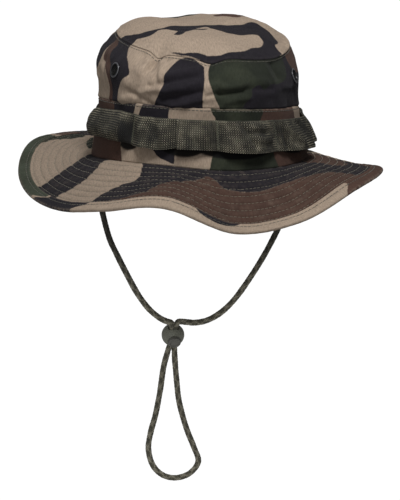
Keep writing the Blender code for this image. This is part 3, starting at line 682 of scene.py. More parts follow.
def shell(name, face, back, uv, closed=True, flip=False, hole=None):
    """Sheet of cloth with a face, a back and closed edges, and which of its points are kept.

    face and back are rows x columns x 3; uv is rows x (columns + 1) x 2 for a ring. hole
    says which grid faces are left out."""
    rows, columns = face.shape[:2]
    row, column = quads(rows, columns, closed)
    if hole is not None:
        keep = ~hole(row, column % columns)
        row, column = row[keep], column[keep]
    corner = row * columns + column % columns
    below = corner[:, ::-1] + rows * columns
    corner_uv = uv[row, np.minimum(column, uv.shape[1] - 1)]
    faces, maps = [corner, below], [corner_uv, corner_uv[:, ::-1]]
    # An edge that only one kept face has is an edge of the cloth
    pairs = [(k, (k + 1) % 4) for k in range(4)]
    edges = np.concatenate([corner[:, pair] for pair in pairs])
    edge_uv = np.concatenate([corner_uv[:, pair] for pair in pairs])
    key = np.sort(edges, 1) @ np.array((rows * columns, 1))
    _, first, count = np.unique(key, return_index=True, return_counts=True)
    rim = first[count == 1]
    a, b = edges[rim].T
    faces.append(np.stack([b, a, a + rows * columns, b + rows * columns], 1))
    maps.append(edge_uv[rim][:, (1, 0, 0, 1)])
    faces, maps = np.concatenate(faces), np.concatenate(maps)
    if flip:
        faces, maps = faces[:, ::-1], maps[:, ::-1]
    points = np.concatenate([face.reshape(-1, 3), back.reshape(-1, 3)])
    used = np.zeros(len(points), bool)
    used[faces.ravel()] = True
    renumber = np.cumsum(used) - 1
    return mesh_from(name, points[used], renumber[faces].tolist(), maps), used


def twice(values, used):
    """The same values on the face and the back, at the points that the shell kept."""
    return np.concatenate([np.ravel(values), np.ravel(values)])[used]


def tube_faces(length, sides):
    row, column = quads(length, sides, True)
    return row * sides + column % sides


def tube_caps(length, sides):
    ring = np.arange(sides)
    return np.stack([ring[::-1], (length - 1) * sides + ring])


def tube(name, line, normal, radius, sides):
    """Mesh of tubes along many lines at once: lines x points x 3."""
    step = np.gradient(line, axis=1)
    step /= np.linalg.norm(step, axis=-1, keepdims=True)
    side = np.cross(step, normal)
    side /= np.linalg.norm(side, axis=-1, keepdims=True)
    up = np.cross(side, step)
    turn = np.arange(sides) * 2 * math.pi / sides
    ring = side[:, :, None] * np.cos(turn)[:, None] + up[:, :, None] * np.sin(turn)[:, None]
    points = line[:, :, None] + ring * radius[..., None, None]
    count, length = line.shape[:2]
    start = (np.arange(count) * length * sides)[:, None, None]
    faces = (tube_faces(length, sides)[None] + start).reshape(-1, 4)
    caps = (tube_caps(length, sides)[None] + start).reshape(-1, sides)
    return mesh_from(name, points, faces.tolist() + caps.tolist())


def threads(name, line, normal, material, radius):
    """Stitches: short threads on a surface whose ends dive into the cloth."""
    place = np.linspace(-1, 1, line.shape[1])
    height = 0.9 - 1.5 * np.abs(place) ** 4
    width = np.broadcast_to(radius * (1 - 0.35 * np.abs(place) ** 3), line.shape[:2])
    mesh = tube(name, line + normal * (height * radius)[:, None], normal, width, 6)
    thing = add_object(name, mesh, material)
    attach(thing, "hat")


def row_of_stitches(per_degree, surface_at, seed, steps=5):
    """Lines and normals of one row of stitches round the hat.

    per_degree is the row's mm per degree; surface_at(angle) gives points and normals."""
    draw = np.random.default_rng(seed)
    angles = [0]
    while angles[-1] < 360:
        angles.append(angles[-1] + STITCH / per_degree)
    angles = np.array(angles[:-1]) + draw.normal(0, 0.05, len(angles) - 1)
    width = STITCH * draw.uniform(0.76, 0.86, len(angles)) / per_degree
    return surface_at(angles[:, None] + width[:, None] * np.linspace(-0.5, 0.5, steps))


# ---------------------------------------------------------------- materials

def scaled(colour, factor):
    return tuple(channel * factor for channel in colour)


class Nodes:
    """Short way to add nodes to a material."""

    def __init__(self, name, roughness=0.85, **settings):
        self.material = bpy.data.materials.new(name)
        self.material.use_nodes = True
        self.tree = self.material.node_tree
        self.shader = self.tree.nodes["Principled BSDF"]
        self.shader.inputs["Roughness"].default_value = roughness
        for key, value in settings.items():
            self.shader.inputs[key.replace("_", " ")].default_value = value
        self.place = self.add("TexCoord").outputs["Object"]

    def add(self, kind, inputs=(), **settings):
        node = self.tree.nodes.new("ShaderNode" + kind)
        for key, value in settings.items():
            setattr(node, key, value)
        for key, value in dict(inputs).items():
            self.put(value, node.inputs[key])
        return node

    def put(self, value, socket):
        """Link a socket to another, or set it to a number or colour."""
        if isinstance(value, bpy.types.NodeSocket):
            self.tree.links.new(value, socket)
        elif socket.type == 'RGBA':
            socket.default_value = (*value, 1)[:4]
        else:
            socket.default_value = value

    def cloth(self):
        return self.add("UVMap", uv_map="cloth").outputs[0]

    def math(self, operation, a, b=0.0):
        return self.add("Math", {0: a, 1: b}, operation=operation).outputs[0]

    def plus(self, a, b):
        return self.math('ADD', a, b)

    def times(self, a, b):
        return self.math('MULTIPLY', a, b)

    def attribute(self, name):
        return self.add("Attribute", attribute_name=name).outputs["Fac"]

    def noise(self, vector, scale, detail=2.0, rough=0.5):
        return self.add("TexNoise", {"Vector": vector, "Scale": scale, "Detail": detail,
                                     "Roughness": rough}).outputs["Fac"]

    def spread(self, value, low, high, to_low=0.0, to_high=1.0):
        return self.add("MapRange", {"Value": value, "From Min": low, "From Max": high,
                                     "To Min": to_low, "To Max": to_high}).outputs["Result"]

    def mix(self, factor, a, b, blend='MIX'):
        node = self.add("Mix", data_type='RGBA', blend_type=blend)
        for value, socket in ((factor, 0), (a, 6), (b, 7)):
            self.put(value, node.inputs[socket])
        return node.outputs[2]

    def ramp(self, value, stops):
        """Colour from a value; stops are (place, colour)."""
        node = self.add("ValToRGB", {0: value})
        ramp = node.color_ramp
        while len(ramp.elements) < len(stops):
            ramp.elements.new(0.5)
        for element, (place, colour) in zip(ramp.elements, stops):
            element.position = place
            element.color = (*colour, 1)
        return node.outputs[0]

    def uneven(self, value, base, low, high):
        """A colour that goes from low to high times its brightness with a noise value."""
        return self.ramp(value, ((0.3, scaled(base, low)), (0.7, scaled(base, high))))

    def finish(self, colour, height, distance=0.0003, roughness=None):
        self.put(colour, self.shader.inputs["Base Color"])
        if roughness is not None:
            self.put(roughness, self.shader.inputs["Roughness"])
        bump = self.add("Bump", {"Height": height, "Distance": distance})
        self.put(bump.outputs[0], self.shader.inputs["Normal"])
        return self.material


def weave(nodes, pitch, cloth):
    """Height of a plain weave whose threads are pitch metres apart."""
    split = nodes.add("SeparateXYZ", {0: cloth})
    across, up = (nodes.times(split.outputs[k], 2 * math.pi / pitch) for k in (0, 1))
    slant = nodes.times(nodes.math('SINE', nodes.plus(across, up)), 0.6)
    return nodes.plus(slant, nodes.times(nodes.math('SINE', across), nodes.math('SINE', up)))


# Colours of the print: its ground, the three on it, worn green and the cloth's back
TAN = (0.330, 0.258, 0.196)
BROWN = (0.072, 0.040, 0.030)
GREEN = (0.0175, 0.0205, 0.0145)
BLACK = (0.0155, 0.0135, 0.0175)
WORN_GREEN = (0.036, 0.041, 0.027)
UNPRINTED = (0.25, 0.22, 0.18)


def camouflage_cloth(name, seed, fade=0.0, depth=1.0, green=1.0):
    """Printed cotton twill: four colours, a fine weave, cloth that is paler where it is worn, and painted
    shadow under the webbing's loops.
    """
    nodes = Nodes(name, 0.88, Sheen_Weight=0.03, Sheen_Roughness=0.5, Specular_IOR_Level=0.12)
    cloth, place = nodes.cloth(), nodes.place
    ragged = nodes.times(nodes.math('SUBTRACT', nodes.noise(place, 700 + seed, 2.0), 0.5), 0.9)
    patchy = nodes.noise(place, 55 + seed, 3.0, 0.6)
    mottled = nodes.spread(nodes.noise(place, 34 + seed, 3.0, 0.55), 0.46, 0.66, 0.0, 0.8)
    grain = nodes.add("Mapping", {"Vector": cloth, "Scale": (1.0, 0.3, 1.0)}).outputs[0]
    fine = nodes.noise(grain, 1000, 3.0, 0.65)
    colour = nodes.uneven(patchy, TAN, depth * 0.95, depth * 1.05)
    for shade, attribute in ((BROWN, "to_brown"), (GREEN, "to_green"), (BLACK, "to_black")):
        strength = depth * green if shade == GREEN else depth
        tone = nodes.uneven(patchy, shade, strength * 0.87, strength * 1.13)
        if shade == GREEN:
            tone = nodes.mix(mottled, tone, scaled(WORN_GREEN, depth))
        edge = nodes.plus(nodes.attribute(attribute), ragged)
        colour = nodes.mix(nodes.spread(edge, -0.3, 0.3, 1.0, 0.0), colour, tone)
    speckle = nodes.spread(fine, 0.25, 0.75, 0.70, 1.30)
    grey = nodes.add("CombineColor", {0: speckle, 1: speckle, 2: speckle}).outputs[0]
    colour = nodes.mix(1.0, colour, grey, 'MULTIPLY')
    worn = nodes.times(nodes.attribute("wear_and_highlight"), nodes.spread(nodes.noise(place, 320, 3.0), 0.35, 0.7))
    colour = nodes.mix(nodes.times(worn, 0.5), colour, tuple(c * 1.15 + 0.03 for c in TAN))
    pale_back = nodes.plus(nodes.times(nodes.attribute("back"), 0.3), fade)
    colour = nodes.mix(pale_back, colour, UNPRINTED)
    # Painted shadow: near black on the band under the webbing's loops
    colour = nodes.mix(nodes.times(nodes.attribute("painted_shadow"), 0.98), colour, (0.003, 0.003, 0.003))
    height = nodes.plus(weave(nodes, 0.0009, cloth), nodes.times(fine, 1.2))
    return nodes.finish(colour, height, 0.00007, nodes.spread(patchy, 0.3, 0.7, 0.8, 0.92))


def ribbed_webbing(name, base, pale):
    """Nylon webbing: ribs across it and a plain weave between, with painted shade and highlight on the
    weave, worn edges, painted highlights, painted crease shadow and darker patches.
    """
    nodes = Nodes(name, 0.62, Sheen_Weight=0.04, Sheen_Roughness=0.4, Specular_IOR_Level=0.25)
    cloth = nodes.cloth()
    split = nodes.add("SeparateXYZ", {0: cloth})
    rib, cross = (nodes.math('SINE', nodes.times(split.outputs[k], 2 * math.pi / pitch))
                  for k, pitch in ((0, RIB_PITCH * MM), (1, CROSS_PITCH * MM)))
    knit = nodes.times(rib, cross)
    patchy = nodes.noise(nodes.place, 90, 3.0, 0.6)
    fine = nodes.noise(cloth, 2500, 2.0, 0.7)
    level = nodes.plus(nodes.spread(rib, -1, 1, 0.0, 0.2), nodes.spread(knit, -1, 1, 0.0, 0.7))
    level = nodes.plus(level, nodes.spread(fine, 0.2, 0.8, -0.1, 0.3))
    level = nodes.plus(level, nodes.spread(patchy, 0.3, 0.7, -0.22, 0.14))
    # The weave's colour follows its height: painted shade in its low places and painted highlight on its
    # high places
    colour = nodes.ramp(level, ((0.28, scaled(base, 0.1)), (0.62, base), (1.0, pale)))
    # Paler along the worn edges, and painted highlights along the webbing's folds
    worn = nodes.times(nodes.attribute("wear_and_highlight"), nodes.spread(fine, 0.35, 0.7))
    colour = nodes.mix(nodes.times(worn, 0.45), colour, (0.17, 0.165, 0.125))
    # Darker patches along some lines of the webbing
    colour = nodes.mix(nodes.times(nodes.attribute("painted_darkening"), 0.7), colour, (0.006, 0.006, 0.005))
    # Painted shadow: near black in the gap at the big loop's end and along a fold line
    colour = nodes.mix(nodes.attribute("painted_crease_shadow"), colour, (0.004, 0.004, 0.004))
    return nodes.finish(colour, nodes.plus(nodes.times(knit, 0.6), fine))


def braided(name, dark, middle, pale):
    """Braided cord: crossing strands of three shades of olive yarn, with painted shade in the grooves
    between strands and painted shadow near the brim.
    """
    nodes = Nodes(name, 0.72, Sheen_Weight=0.25, Sheen_Roughness=0.4, Specular_IOR_Level=0.3)
    lay = nodes.attribute("lay")
    fleck = nodes.spread(nodes.noise(nodes.place, 900, 2.0, 0.6), 0.3, 0.7, 0.0, 0.35)
    level = nodes.plus(nodes.times(nodes.attribute("strand"), 0.55), fleck)
    colour = nodes.ramp(level, ((0.1, dark), (0.45, middle), (0.9, pale)))
    # Painted shade: darker in the grooves between the strands
    colour = nodes.mix(nodes.spread(lay, 0.0, 0.7, 0.5, 0.0), colour, (0.02, 0.02, 0.017))
    # Painted shadow: darker towards the brim, where the brim shades the cord
    colour = nodes.mix(nodes.times(nodes.attribute("painted_darkening"), 0.8), colour, (0.012, 0.012, 0.011))
    yarn = nodes.noise(nodes.place, 3200, 1.0)
    return nodes.finish(colour, nodes.plus(lay, nodes.times(yarn, 0.5)), 0.00012)


def sewing_thread(name, base):
    nodes = Nodes(name, 0.6, Sheen_Weight=0.2, Specular_IOR_Level=0.35)
    colour = nodes.uneven(nodes.noise(nodes.place, 260, 3.0, 0.7), base, 0.6, 1.25)
    return nodes.finish(colour, nodes.noise(nodes.place, 5000, 1.0), 0.00005)


def moulded_plastic(name, base):
    nodes = Nodes(name, 0.45, Specular_IOR_Level=0.45)
    haze = nodes.noise(nodes.place, 140, 4.0, 0.6)
    scuff = nodes.spread(nodes.noise(nodes.place, 700, 4.0, 0.7), 0.62, 0.72)
    colour = nodes.mix(nodes.times(scuff, 0.25), nodes.uneven(haze, base, 0.88, 1.1), scaled(base, 2))
    grain = nodes.noise(nodes.place, 2600, 2.0)
    return nodes.finish(colour, grain, 0.00003, nodes.spread(haze, 0.3, 0.7, 0.38, 0.55))


def enamelled_metal(name):
    """Black enamel that has worn off in specks, with a painted highlight on the eyelets' outer lip."""
    nodes = Nodes(name, 0.28, Metallic=0.35, Specular_IOR_Level=0.6)
    chips = nodes.spread(nodes.noise(nodes.place, 900, 4.0, 0.7), 0.66, 0.7)
    colour = nodes.mix(chips, (0.012, 0.012, 0.013), (0.20, 0.17, 0.12))
    # Painted highlight: light grey on the eyelet's outer lip
    colour = nodes.mix(nodes.attribute("wear_and_highlight"), colour, (0.22, 0.22, 0.24))
    rough = nodes.spread(nodes.noise(nodes.place, 260, 3.0), 0.3, 0.7, 0.2, 0.42)
    return nodes.finish(colour, nodes.noise(nodes.place, 1400, 3.0), 0.00004, rough)


def bare_metal(name, base, rough_low, rough_high):
    nodes = Nodes(name, 0.3, Metallic=1.0)
    stain = nodes.noise(nodes.place, 400, 3.0)
    rough = nodes.spread(stain, 0.3, 0.7, rough_low, rough_high)
    grain = nodes.noise(nodes.place, 3000, 2.0)
    return nodes.finish(nodes.uneven(stain, base, 0.7, 1.0), grain, 0.00002, rough)


def plain_cloth(name, base, pitch, rough=0.9):
    """Single-colour cloth with a plain weave."""
    nodes = Nodes(name, rough, Sheen_Weight=0.1, Specular_IOR_Level=0.25)
    cloth = nodes.cloth()
    patchy = nodes.noise(nodes.place, 60, 3.0, 0.6)
    fine = nodes.noise(cloth, 1500, 2.0, 0.7)
    level = nodes.plus(nodes.times(patchy, 0.5), nodes.times(fine, 0.5))
    height = nodes.plus(weave(nodes, pitch, cloth), nodes.times(fine, 1.2))
    return nodes.finish(nodes.uneven(level, base, 0.75, 1.15), height, 0.0001)


# ---------------------------------------------------------------- crown

def wall(angle, height, offset):
    """Points beside the crown's wall at a height, offset outward from the smooth wall."""
    return lifted(crown, angle, np.clip(crown_share(angle, height), 0, 0.9985), offset)


def ring_uv(angle_count, across, up):
    """Cloth coordinates of a ring: across is mm per degree, up is rows x angle_count."""
    u = np.arange(angle_count + 1) * 360 / angle_count * across
    up = np.concatenate([up, up[:, :1]], 1)
    return np.stack(np.broadcast_arrays(u[None], up), -1)


def ring_angles(count):
    """Directions round the hat, from the back round to the back."""
    return -180 + np.arange(count) * 360 / count


def plan_uv(points):
    """Cloth coordinates of a ring as seen from above."""
    return np.concatenate([points, points[:, :1]], 1)[..., :2]


def print_on(thing, used, across, up, prints, wear_and_highlight, **options):
    """Give a piece its print, its worn places and its paler back."""
    camouflage(thing.data, twice(across, used), twice(up, used), prints, **options)
    store(thing.data, "wear_and_highlight", twice(wear_and_highlight + 0 * across, used))
    store(thing.data, "back", np.repeat((0.0, 1.0), across.size)[used])


def cloth_piece(name, node, slot, face, back, uv, material, **options):
    """A ring or patch of cloth on the hat that stands for a CAD node."""
    mesh, used = shell(name, face, back, uv, **options)
    thing = add_object(name, mesh, material)
    stands_for(thing, node, "hat")
    return thing, used


def build_side(cloth):
    angle = ring_angles(CROWN_STEPS)
    low, high = band_seam_height(angle) - 4, top_seam_height(angle) - 0.1
    height = low + (high - low) * np.linspace(0, 1, 76)[:, None]
    angle, height = np.broadcast_arrays(angle, height)
    out = side_face(angle, height)
    face, back = wall(angle, height, out), wall(angle, height, out - PANEL)

    def hole(row, column):
        middle = face[row, column].mean(1)
        inside = np.zeros(len(row), bool)
        for at, up in VENTS.values():
            inside |= np.linalg.norm(middle - crown(at, crown_share(at, up)), axis=-1) < VENT_HOLE_RADIUS
        return inside

    uv = ring_uv(CROWN_STEPS, SIDE_ARC, height)
    thing, used = cloth_piece("side_panel", "crown_side_panel", "camouflage_cloth", face, back, uv, cloth,
                              hole=hole)
    wear_and_highlight = 0.04 * bell(top_seam_height(angle) - height - 1.2, 0.8)
    print_on(thing, used, angle, height, SIDE_PRINT, wear_and_highlight)


def build_band(cloth):
    angle = ring_angles(CROWN_STEPS)
    low, high = foot_height(angle), band_seam_height(angle) + 0.3
    height = low + (high - low) * np.linspace(0, 1, 56)[:, None] ** 0.9
    angle, height = np.broadcast_arrays(angle, height)
    out = band_face(angle, height)
    face, back = wall(angle, height, out), wall(angle, height, out - PANEL)
    uv = ring_uv(CROWN_STEPS, FOOT_ARC, height)
    thing, used = cloth_piece("band", "crown_band", "camouflage_cloth", face, back, uv, cloth)
    wear_and_highlight = 0.8 * bell(band_seam_height(angle) - height - 0.5, 0.5)
    print_on(thing, used, angle, height, BAND_PRINT, wear_and_highlight)
    # Painted shadow: near black on the band just below the webbing's loops
    below = webbing_middle_height(angle) - WEBBING_WIDTH / 2 - height
    painted_shadow = 0 * angle
    for middle, reach, depth in BAND_PAINTED_SHADOWS:
        edge = depth * (1 - ((angle - middle) / reach) ** 2)
        near = np.abs(angle - middle) < reach * 1.15
        painted_shadow = np.maximum(painted_shadow, smooth(0.7, -0.9, below - edge) * near)
    store(thing.data, "painted_shadow", twice(painted_shadow * smooth(-12, -8, below), used))


def weld(mesh):
    """Merge the points that fall together at a panel's centre, and drop what that leaves loose."""
    with edited(mesh) as work:
        bmesh.ops.remove_doubles(work, verts=work.verts, dist=1e-7)
        loose = [edge for edge in work.edges if not edge.link_faces]
        bmesh.ops.delete(work, geom=loose, context='EDGES')


def build_top(cloth):
    share = np.linspace(0, 1, 64)[:, None] ** 1.15
    angle, share = np.broadcast_arrays(ring_angles(CROWN_STEPS), share)
    out = PANEL + top_relief(angle, share)
    out[-1] = out[-1].mean()
    up = normals(crown_top, angle, np.minimum(share, 0.98))
    up[-1] = up[-1].mean(0) / np.linalg.norm(up[-1].mean(0))
    smooth_top = crown_top(angle, share)
    face = smooth_top + up * out[..., None]
    back = smooth_top + up * (out - PANEL)[..., None]
    thing, used = cloth_piece("top_panel", "crown_top_panel", "camouflage_cloth", face, back,
                              plan_uv(smooth_top), cloth)
    wear_and_highlight = 0.04 * bell(share * TOP_RADIUS - 1.0, 0.8)
    print_on(thing, used, smooth_top[..., 0], smooth_top[..., 1], TOP_PRINT, wear_and_highlight, arc=1.0, wraps=False)
    weld(thing.data)


def build_sweatband(tape):
    rise = np.linspace(0, 1, 14)[:, None]
    angle = ring_angles(LINING_STEPS)
    angle, height = np.broadcast_arrays(angle, foot_height(angle) + SWEATBAND_HEIGHT * rise)
    inset = -(2 * PANEL + 2 * GAP)
    pucker = 0.15 * ripples(wall(angle, height, 0), 9, 21, (1, 1, 0.2)) - 0.1
    edge = 0.25 * bell(rise - 0.08, 0.03) + 0.25 * bell(rise - 0.92, 0.03)
    thing, _ = cloth_piece("sweatband_tape", "sweatband", "lining_tape", wall(angle, height, inset),
                           wall(angle, height, inset - SWEATBAND_CLOTH + pucker * 0.6 + edge),
                           ring_uv(LINING_STEPS, FOOT_ARC, height), tape)


def build_seam_tape(tape):
    """Tape over the raw edges of the top seam, up the wall and on under the top panel."""
    angle = ring_angles(LINING_STEPS)
    foot, top = foot_height(angle), top_seam_height(angle)
    inset = -(PANEL + GAP)
    rows = [(crown, share, side_face(angle, foot + share * (top - foot)))
            for share in (0.93, 0.94, 0.95, 0.96, 0.968, 0.975, 0.981)]
    rows += [(crown_top, share, top_relief(angle, share)) for share in (0.045, 0.055, 0.065, 0.075, 0.085)]
    outer, inner = (np.array([lifted(surface, angle, share, inset - depth + np.minimum(relief, 0))
                              for surface, share, relief in rows]) for depth in (0.6, PANEL + 0.5))
    width = np.broadcast_to(np.linspace(0, 14, len(rows))[:, None], outer.shape[:2])
    thing, _ = cloth_piece("top_seam_tape", "crown_seam_binding", "lining_tape", outer, inner,
                           ring_uv(LINING_STEPS, 1.4, width), tape)


def build_label(cloth):
    angle = np.linspace(171, 189, 60)
    inset = -(2 * PANEL + 4 * GAP + SWEATBAND_CLOTH)
    angle, height = np.broadcast_arrays(angle, foot_height(angle) + np.linspace(5, 23, 40)[:, None])
    place = np.stack([(angle - 180) * 1.6, height - foot_height(angle) - 14], -1)
    rim = np.minimum(14.4 - np.abs(place[..., 0]), 9 - np.abs(place[..., 1]))
    out = inset - 0.35 + 0.18 * bell(rim - 1.2, 0.4) + 0.12 * ripples(wall(angle, height, 0), 12, 22)
    thing, _ = cloth_piece("label", "blank_label", "label_cloth", wall(angle, height, inset + 0.05),
                           wall(angle, height, out), place, cloth, closed=False)


# ---------------------------------------------------------------- brim

def brim_columns():
    """Distances across the brim, mm, closer together at the rows of stitching."""
    places = list(np.arange(BRIM_CLOTH_START, BRIM_CLOTH_END, 1.25))
    places += [row + step for row in BRIM_ROWS for step in (-1, -0.45, 0, 0.45, 1)]
    kept = []
    for place in sorted(places):
        if not kept or place - kept[-1] > 0.3:
            kept.append(place)
    return np.array(kept)


def build_brim(cloth, under_cloth, core):
    at, share = np.broadcast_arrays(ring_angles(500), brim_columns()[:, None] / BRIM_WIDTH)
    uv = plan_uv(brim(at, share))
    relief = quilting(at, share)
    for side, name, node, material in ((1, "brim_top", "brim_top_ply", cloth),
                                       (-1, "brim_underside", "brim_bottom_ply", under_cloth)):
        face = on_brim(at, share, side * (BRIM_STACK / 2 + relief))
        back = on_brim(at, share, side * (BRIM_STACK / 2 - BRIM_PLY - 0.15))
        thing, used = cloth_piece(name, node, "camouflage_cloth", face, back, uv, material, flip=side > 0)
        turned_by = at if side > 0 else apart(UNDER_TURN, at)
        wear_and_highlight = 0.35 * np.clip(relief, 0, 1)
        print_on(thing, used, turned_by, share * BRIM_WIDTH, BRIM_PRINT, wear_and_highlight, arc=2.1)
    share = np.linspace(BRIM_CLOTH_START, BRIM_CLOTH_END, 30)[:, None] / BRIM_WIDTH
    at, share = np.broadcast_arrays(ring_angles(240), share)
    upper, lower = (on_brim(at, share, side * BRIM_CORE / 2) for side in (1, -1))
    thing, _ = cloth_piece("brim_core", "brim_interlining", "interlining", upper, lower,
                           plan_uv(brim(at, share)), core, flip=True)


# The binding's section: distance in from the rim and height above the brim's middle, mm
BINDING_SECTION = (
    (10.4, 1.2), (10.3, 1.75), (9.8, 2.0), (8.7, 1.95), (7.7, 1.85), (7.1, 1.5), (6.5, 1.85), (5.0, 2.0),
    (3.2, 1.95), (1.6, 1.75), (0.55, 1.25), (0.1, 0.55)
)


def binding_section(place):
    """Point of the binding's section, from its upper edge at -1 round the rim to its lower edge at 1."""
    table = list(BINDING_SECTION) + [(0.0, 0.0)] + [(q, -h) for q, h in reversed(BINDING_SECTION)]
    return along(table, (place + 1) / 2)


def build_binding(cloth):
    count = 560
    place = np.linspace(-1, 1, 62)
    section = binding_section(place)
    depth = section[:, :1]
    inner = section.copy()
    inner[:, :1] += 0.45 * bell(depth, 1.5)
    inner[:, 1:] -= np.sign(section[:, 1:]) * 0.45 * (1 - bell(depth, 0.9))
    at = np.broadcast_to(ring_angles(count), (len(place), count))
    rim = brim(at, np.ones(at.shape))
    pucker = 1 + 0.035 * ripples(rim, 7, 31) + 0.03 * ripples(rim, 23, 32)
    face = on_brim(at, 1 - depth / BRIM_WIDTH, section[:, 1:] * pucker)
    back = on_brim(at, 1 - inner[:, :1] / BRIM_WIDTH, inner[:, 1:])
    uv = ring_uv(count, 2.7, np.broadcast_to(run_along(section)[:, None], at.shape))
    thing, used = cloth_piece("edge_binding", "brim_edge_binding", "camouflage_cloth", face, back, uv, cloth)
    from_rim = -np.sign(place)[:, None] * depth + 0 * at
    wear_and_highlight = 0.9 * bell(depth, 1.1) + 0.4 * bell(depth - 10.0, 0.5)
    print_on(thing, used, at, from_rim, BINDING_PRINT, wear_and_highlight, arc=2.6)


# ---------------------------------------------------------------- webbing band

def webbing_stand_off(angle):
    """How far the webbing stands off the crown."""
    angle = np.asarray(angle, float)
    off = np.zeros(angle.shape)
    for start, end, height, rise, fall in WEBBING_LOOPS:
        place = (angle - start) % 360 / (end - start)
        inside = place < 1
        up = np.sin(np.clip(place / rise, 0, 1) * math.pi / 2) ** 1.3
        down = np.sin(np.clip((1 - place) / fall, 0, 1) * math.pi / 2) ** 1.3
        off = np.where(inside, height * up * down, off)
    return off


def webbing(angle, place):
    """Middle of the webbing's thickness; place is -1 at its lower edge and 1 at its upper edge."""
    angle, place = paired(angle, place)
    across = apart(angle, 0)
    off = webbing_stand_off(angle)
    puff = smooth(-110, -95, across) * (1 - smooth(-50, -46.5, across))
    height = webbing_middle_height(angle) + place * WEBBING_WIDTH / 2
    height = height + (1 - place) / 2 * np.interp(across, *np.transpose(WEBBING_LOWER_RISE))
    height = height + (1 + place) / 2 * np.interp(across, *np.transpose(WEBBING_UPPER_RISE))
    cup = 1 - (0.10 + 0.5 * puff) * place ** 2
    lean = 1 - 0.45 * place * (1 - puff) - 0.38 * place * puff
    points = crown(angle, crown_share(angle, height))
    relief = folds(angle, height, WEBBING_FOLDS) * np.clip(off / 2, 0, 1)
    relief = relief + 0.35 * ripples(points, 17, 41) * np.clip(off / 3, 0, 1)
    base = 0.8 - PANEL - GAP + WEBBING_CLOTH / 2 + 0.12 * (1 + ripples(points, 20, 42))
    found = wall(angle, height, base + off * cup * lean + relief)
    found[..., 2] = height
    return found


def grid_normals(points):
    """Normals of a ring of points, rows x columns x 3."""
    wrapped = np.concatenate([points[:, -1:], points, points[:, :1]], 1)
    round_step = wrapped[:, 2:] - wrapped[:, :-2]
    up_step = np.gradient(points, axis=0)
    out = np.cross(round_step, up_step)
    return out / np.linalg.norm(out, axis=-1, keepdims=True)


def build_webbing(material):
    fine = np.linspace(-180, 180, 3601)
    run = run_along(webbing(fine, 0 * fine))
    count = round(run[-1] / RIB_PITCH) * 5
    arc = np.arange(count) * run[-1] / count
    angle = np.interp(arc, run, fine)
    place = np.array([-1, -0.97, *np.arange(-6, 7) * 0.15, 0.97, 1])[:, None]
    middle = webbing(angle, place)
    out = grid_normals(middle)
    rib = 0.16 * np.cos(arc * 2 * math.pi / RIB_PITCH)
    edge = smooth(0.9, 1.0, np.abs(place))
    half = WEBBING_CLOTH / 2 + rib * (1 - edge) + 0.12 * bell(np.abs(place) - 0.94, 0.04) - 0.3 * edge
    face, back = middle + out * half[..., None], middle - out * half[..., None]
    along_and_up = np.broadcast_arrays(np.append(arc, run[-1]), place * WEBBING_WIDTH / 2)
    thing, used = cloth_piece("webbing_loops", "webbing_band", "webbing", face, back,
                              np.stack(along_and_up, -1), material)
    up = webbing_middle_height(angle) + place * WEBBING_WIDTH / 2
    # Painted shadow: near black in the gap at the big loop's right end and along the fold line near -23
    # degrees
    gap_shadow = smooth(0.75, 0.2, place) * smooth(3.6, 2.2, np.abs(angle + 50.2 + 1.2 * place ** 2))
    line = smooth(0.55, 0.15, np.abs(angle + 23.2 - 1.1 * place)) * smooth(0.95, 0.5, place)
    # Worn edges, plus painted highlights along the folds listed for shine
    wear_and_highlight = 0.9 * bell(np.abs(place) - 0.96, 0.04) + folds(angle, up, WEBBING_SHINE)
    for name, values in (("wear_and_highlight", wear_and_highlight), ("painted_crease_shadow", np.maximum(0.95 * gap_shadow, 0.6 * line)),
                         ("painted_darkening", np.clip(folds(angle, up, WEBBING_DARKER_PATCHES), 0, 1))):
        store(thing.data, name, twice(values, used))


# ---------------------------------------------------------------- stitching

def build_stitching(pale, dark, olive):
    arc = math.pi / 180

    def on_side(side, share, height):
        def surface_at(at):
            shares = np.full(at.shape, share)
            out = -side * normals(brim, at, shares)
            return on_brim(at, shares, side * (height or BRIM_STACK / 2 + quilting(at, share))), out
        return surface_at

    def on_wall(height_at, out_at, side=1):
        def surface_at(at):
            height = height_at(at)
            out = side * normals(crown, at, crown_share(at, height))
            return wall(at, height, out_at(at, height)), out
        return surface_at

    for side, name in ((1, "brim_stitching"), (-1, "brim_stitching_underside")):
        stitched(name, [row_of_stitches((94.5 + row) * arc, on_side(side, row / BRIM_WIDTH, None), 50 + k)
                        for k, row in enumerate(BRIM_ROWS)], pale, 0.2)
    share = 1 - BINDING_STITCH_ROW / BRIM_WIDTH
    stitched("binding_stitching", [row_of_stitches(147 * arc, on_side(side, share, 1.55), 60 + side)
                                   for side in (1, -1)], dark)
    band = on_wall(lambda at: band_seam_height(at) - BAND_STITCH_DROP, band_face)
    top = on_wall(lambda at: top_seam_height(at) - 1.5, side_face)
    stitched("crown_stitching", [row_of_stitches(radius * arc, surface_at, seed)
                                 for radius, surface_at, seed in ((88, band, 70), (84, top, 71))], dark)
    inset = -(2 * PANEL + 2 * GAP + SWEATBAND_CLOTH) + 0.1
    sweatband = [on_wall(lambda at, rise=rise: foot_height(at) + rise, lambda at, height: inset, -1)
                 for rise in SWEATBAND_ROWS]
    stitched("sweatband_stitching", [row_of_stitches(93 * arc, surface_at, 80 + rise)
                                     for surface_at, rise in zip(sweatband, SWEATBAND_ROWS)], olive)
    build_tacks(olive)


def stitched(name, parts, material, radius=THREAD):
    line, normal = (np.concatenate(side) for side in zip(*parts))
    threads(name, line, normal, material, radius)


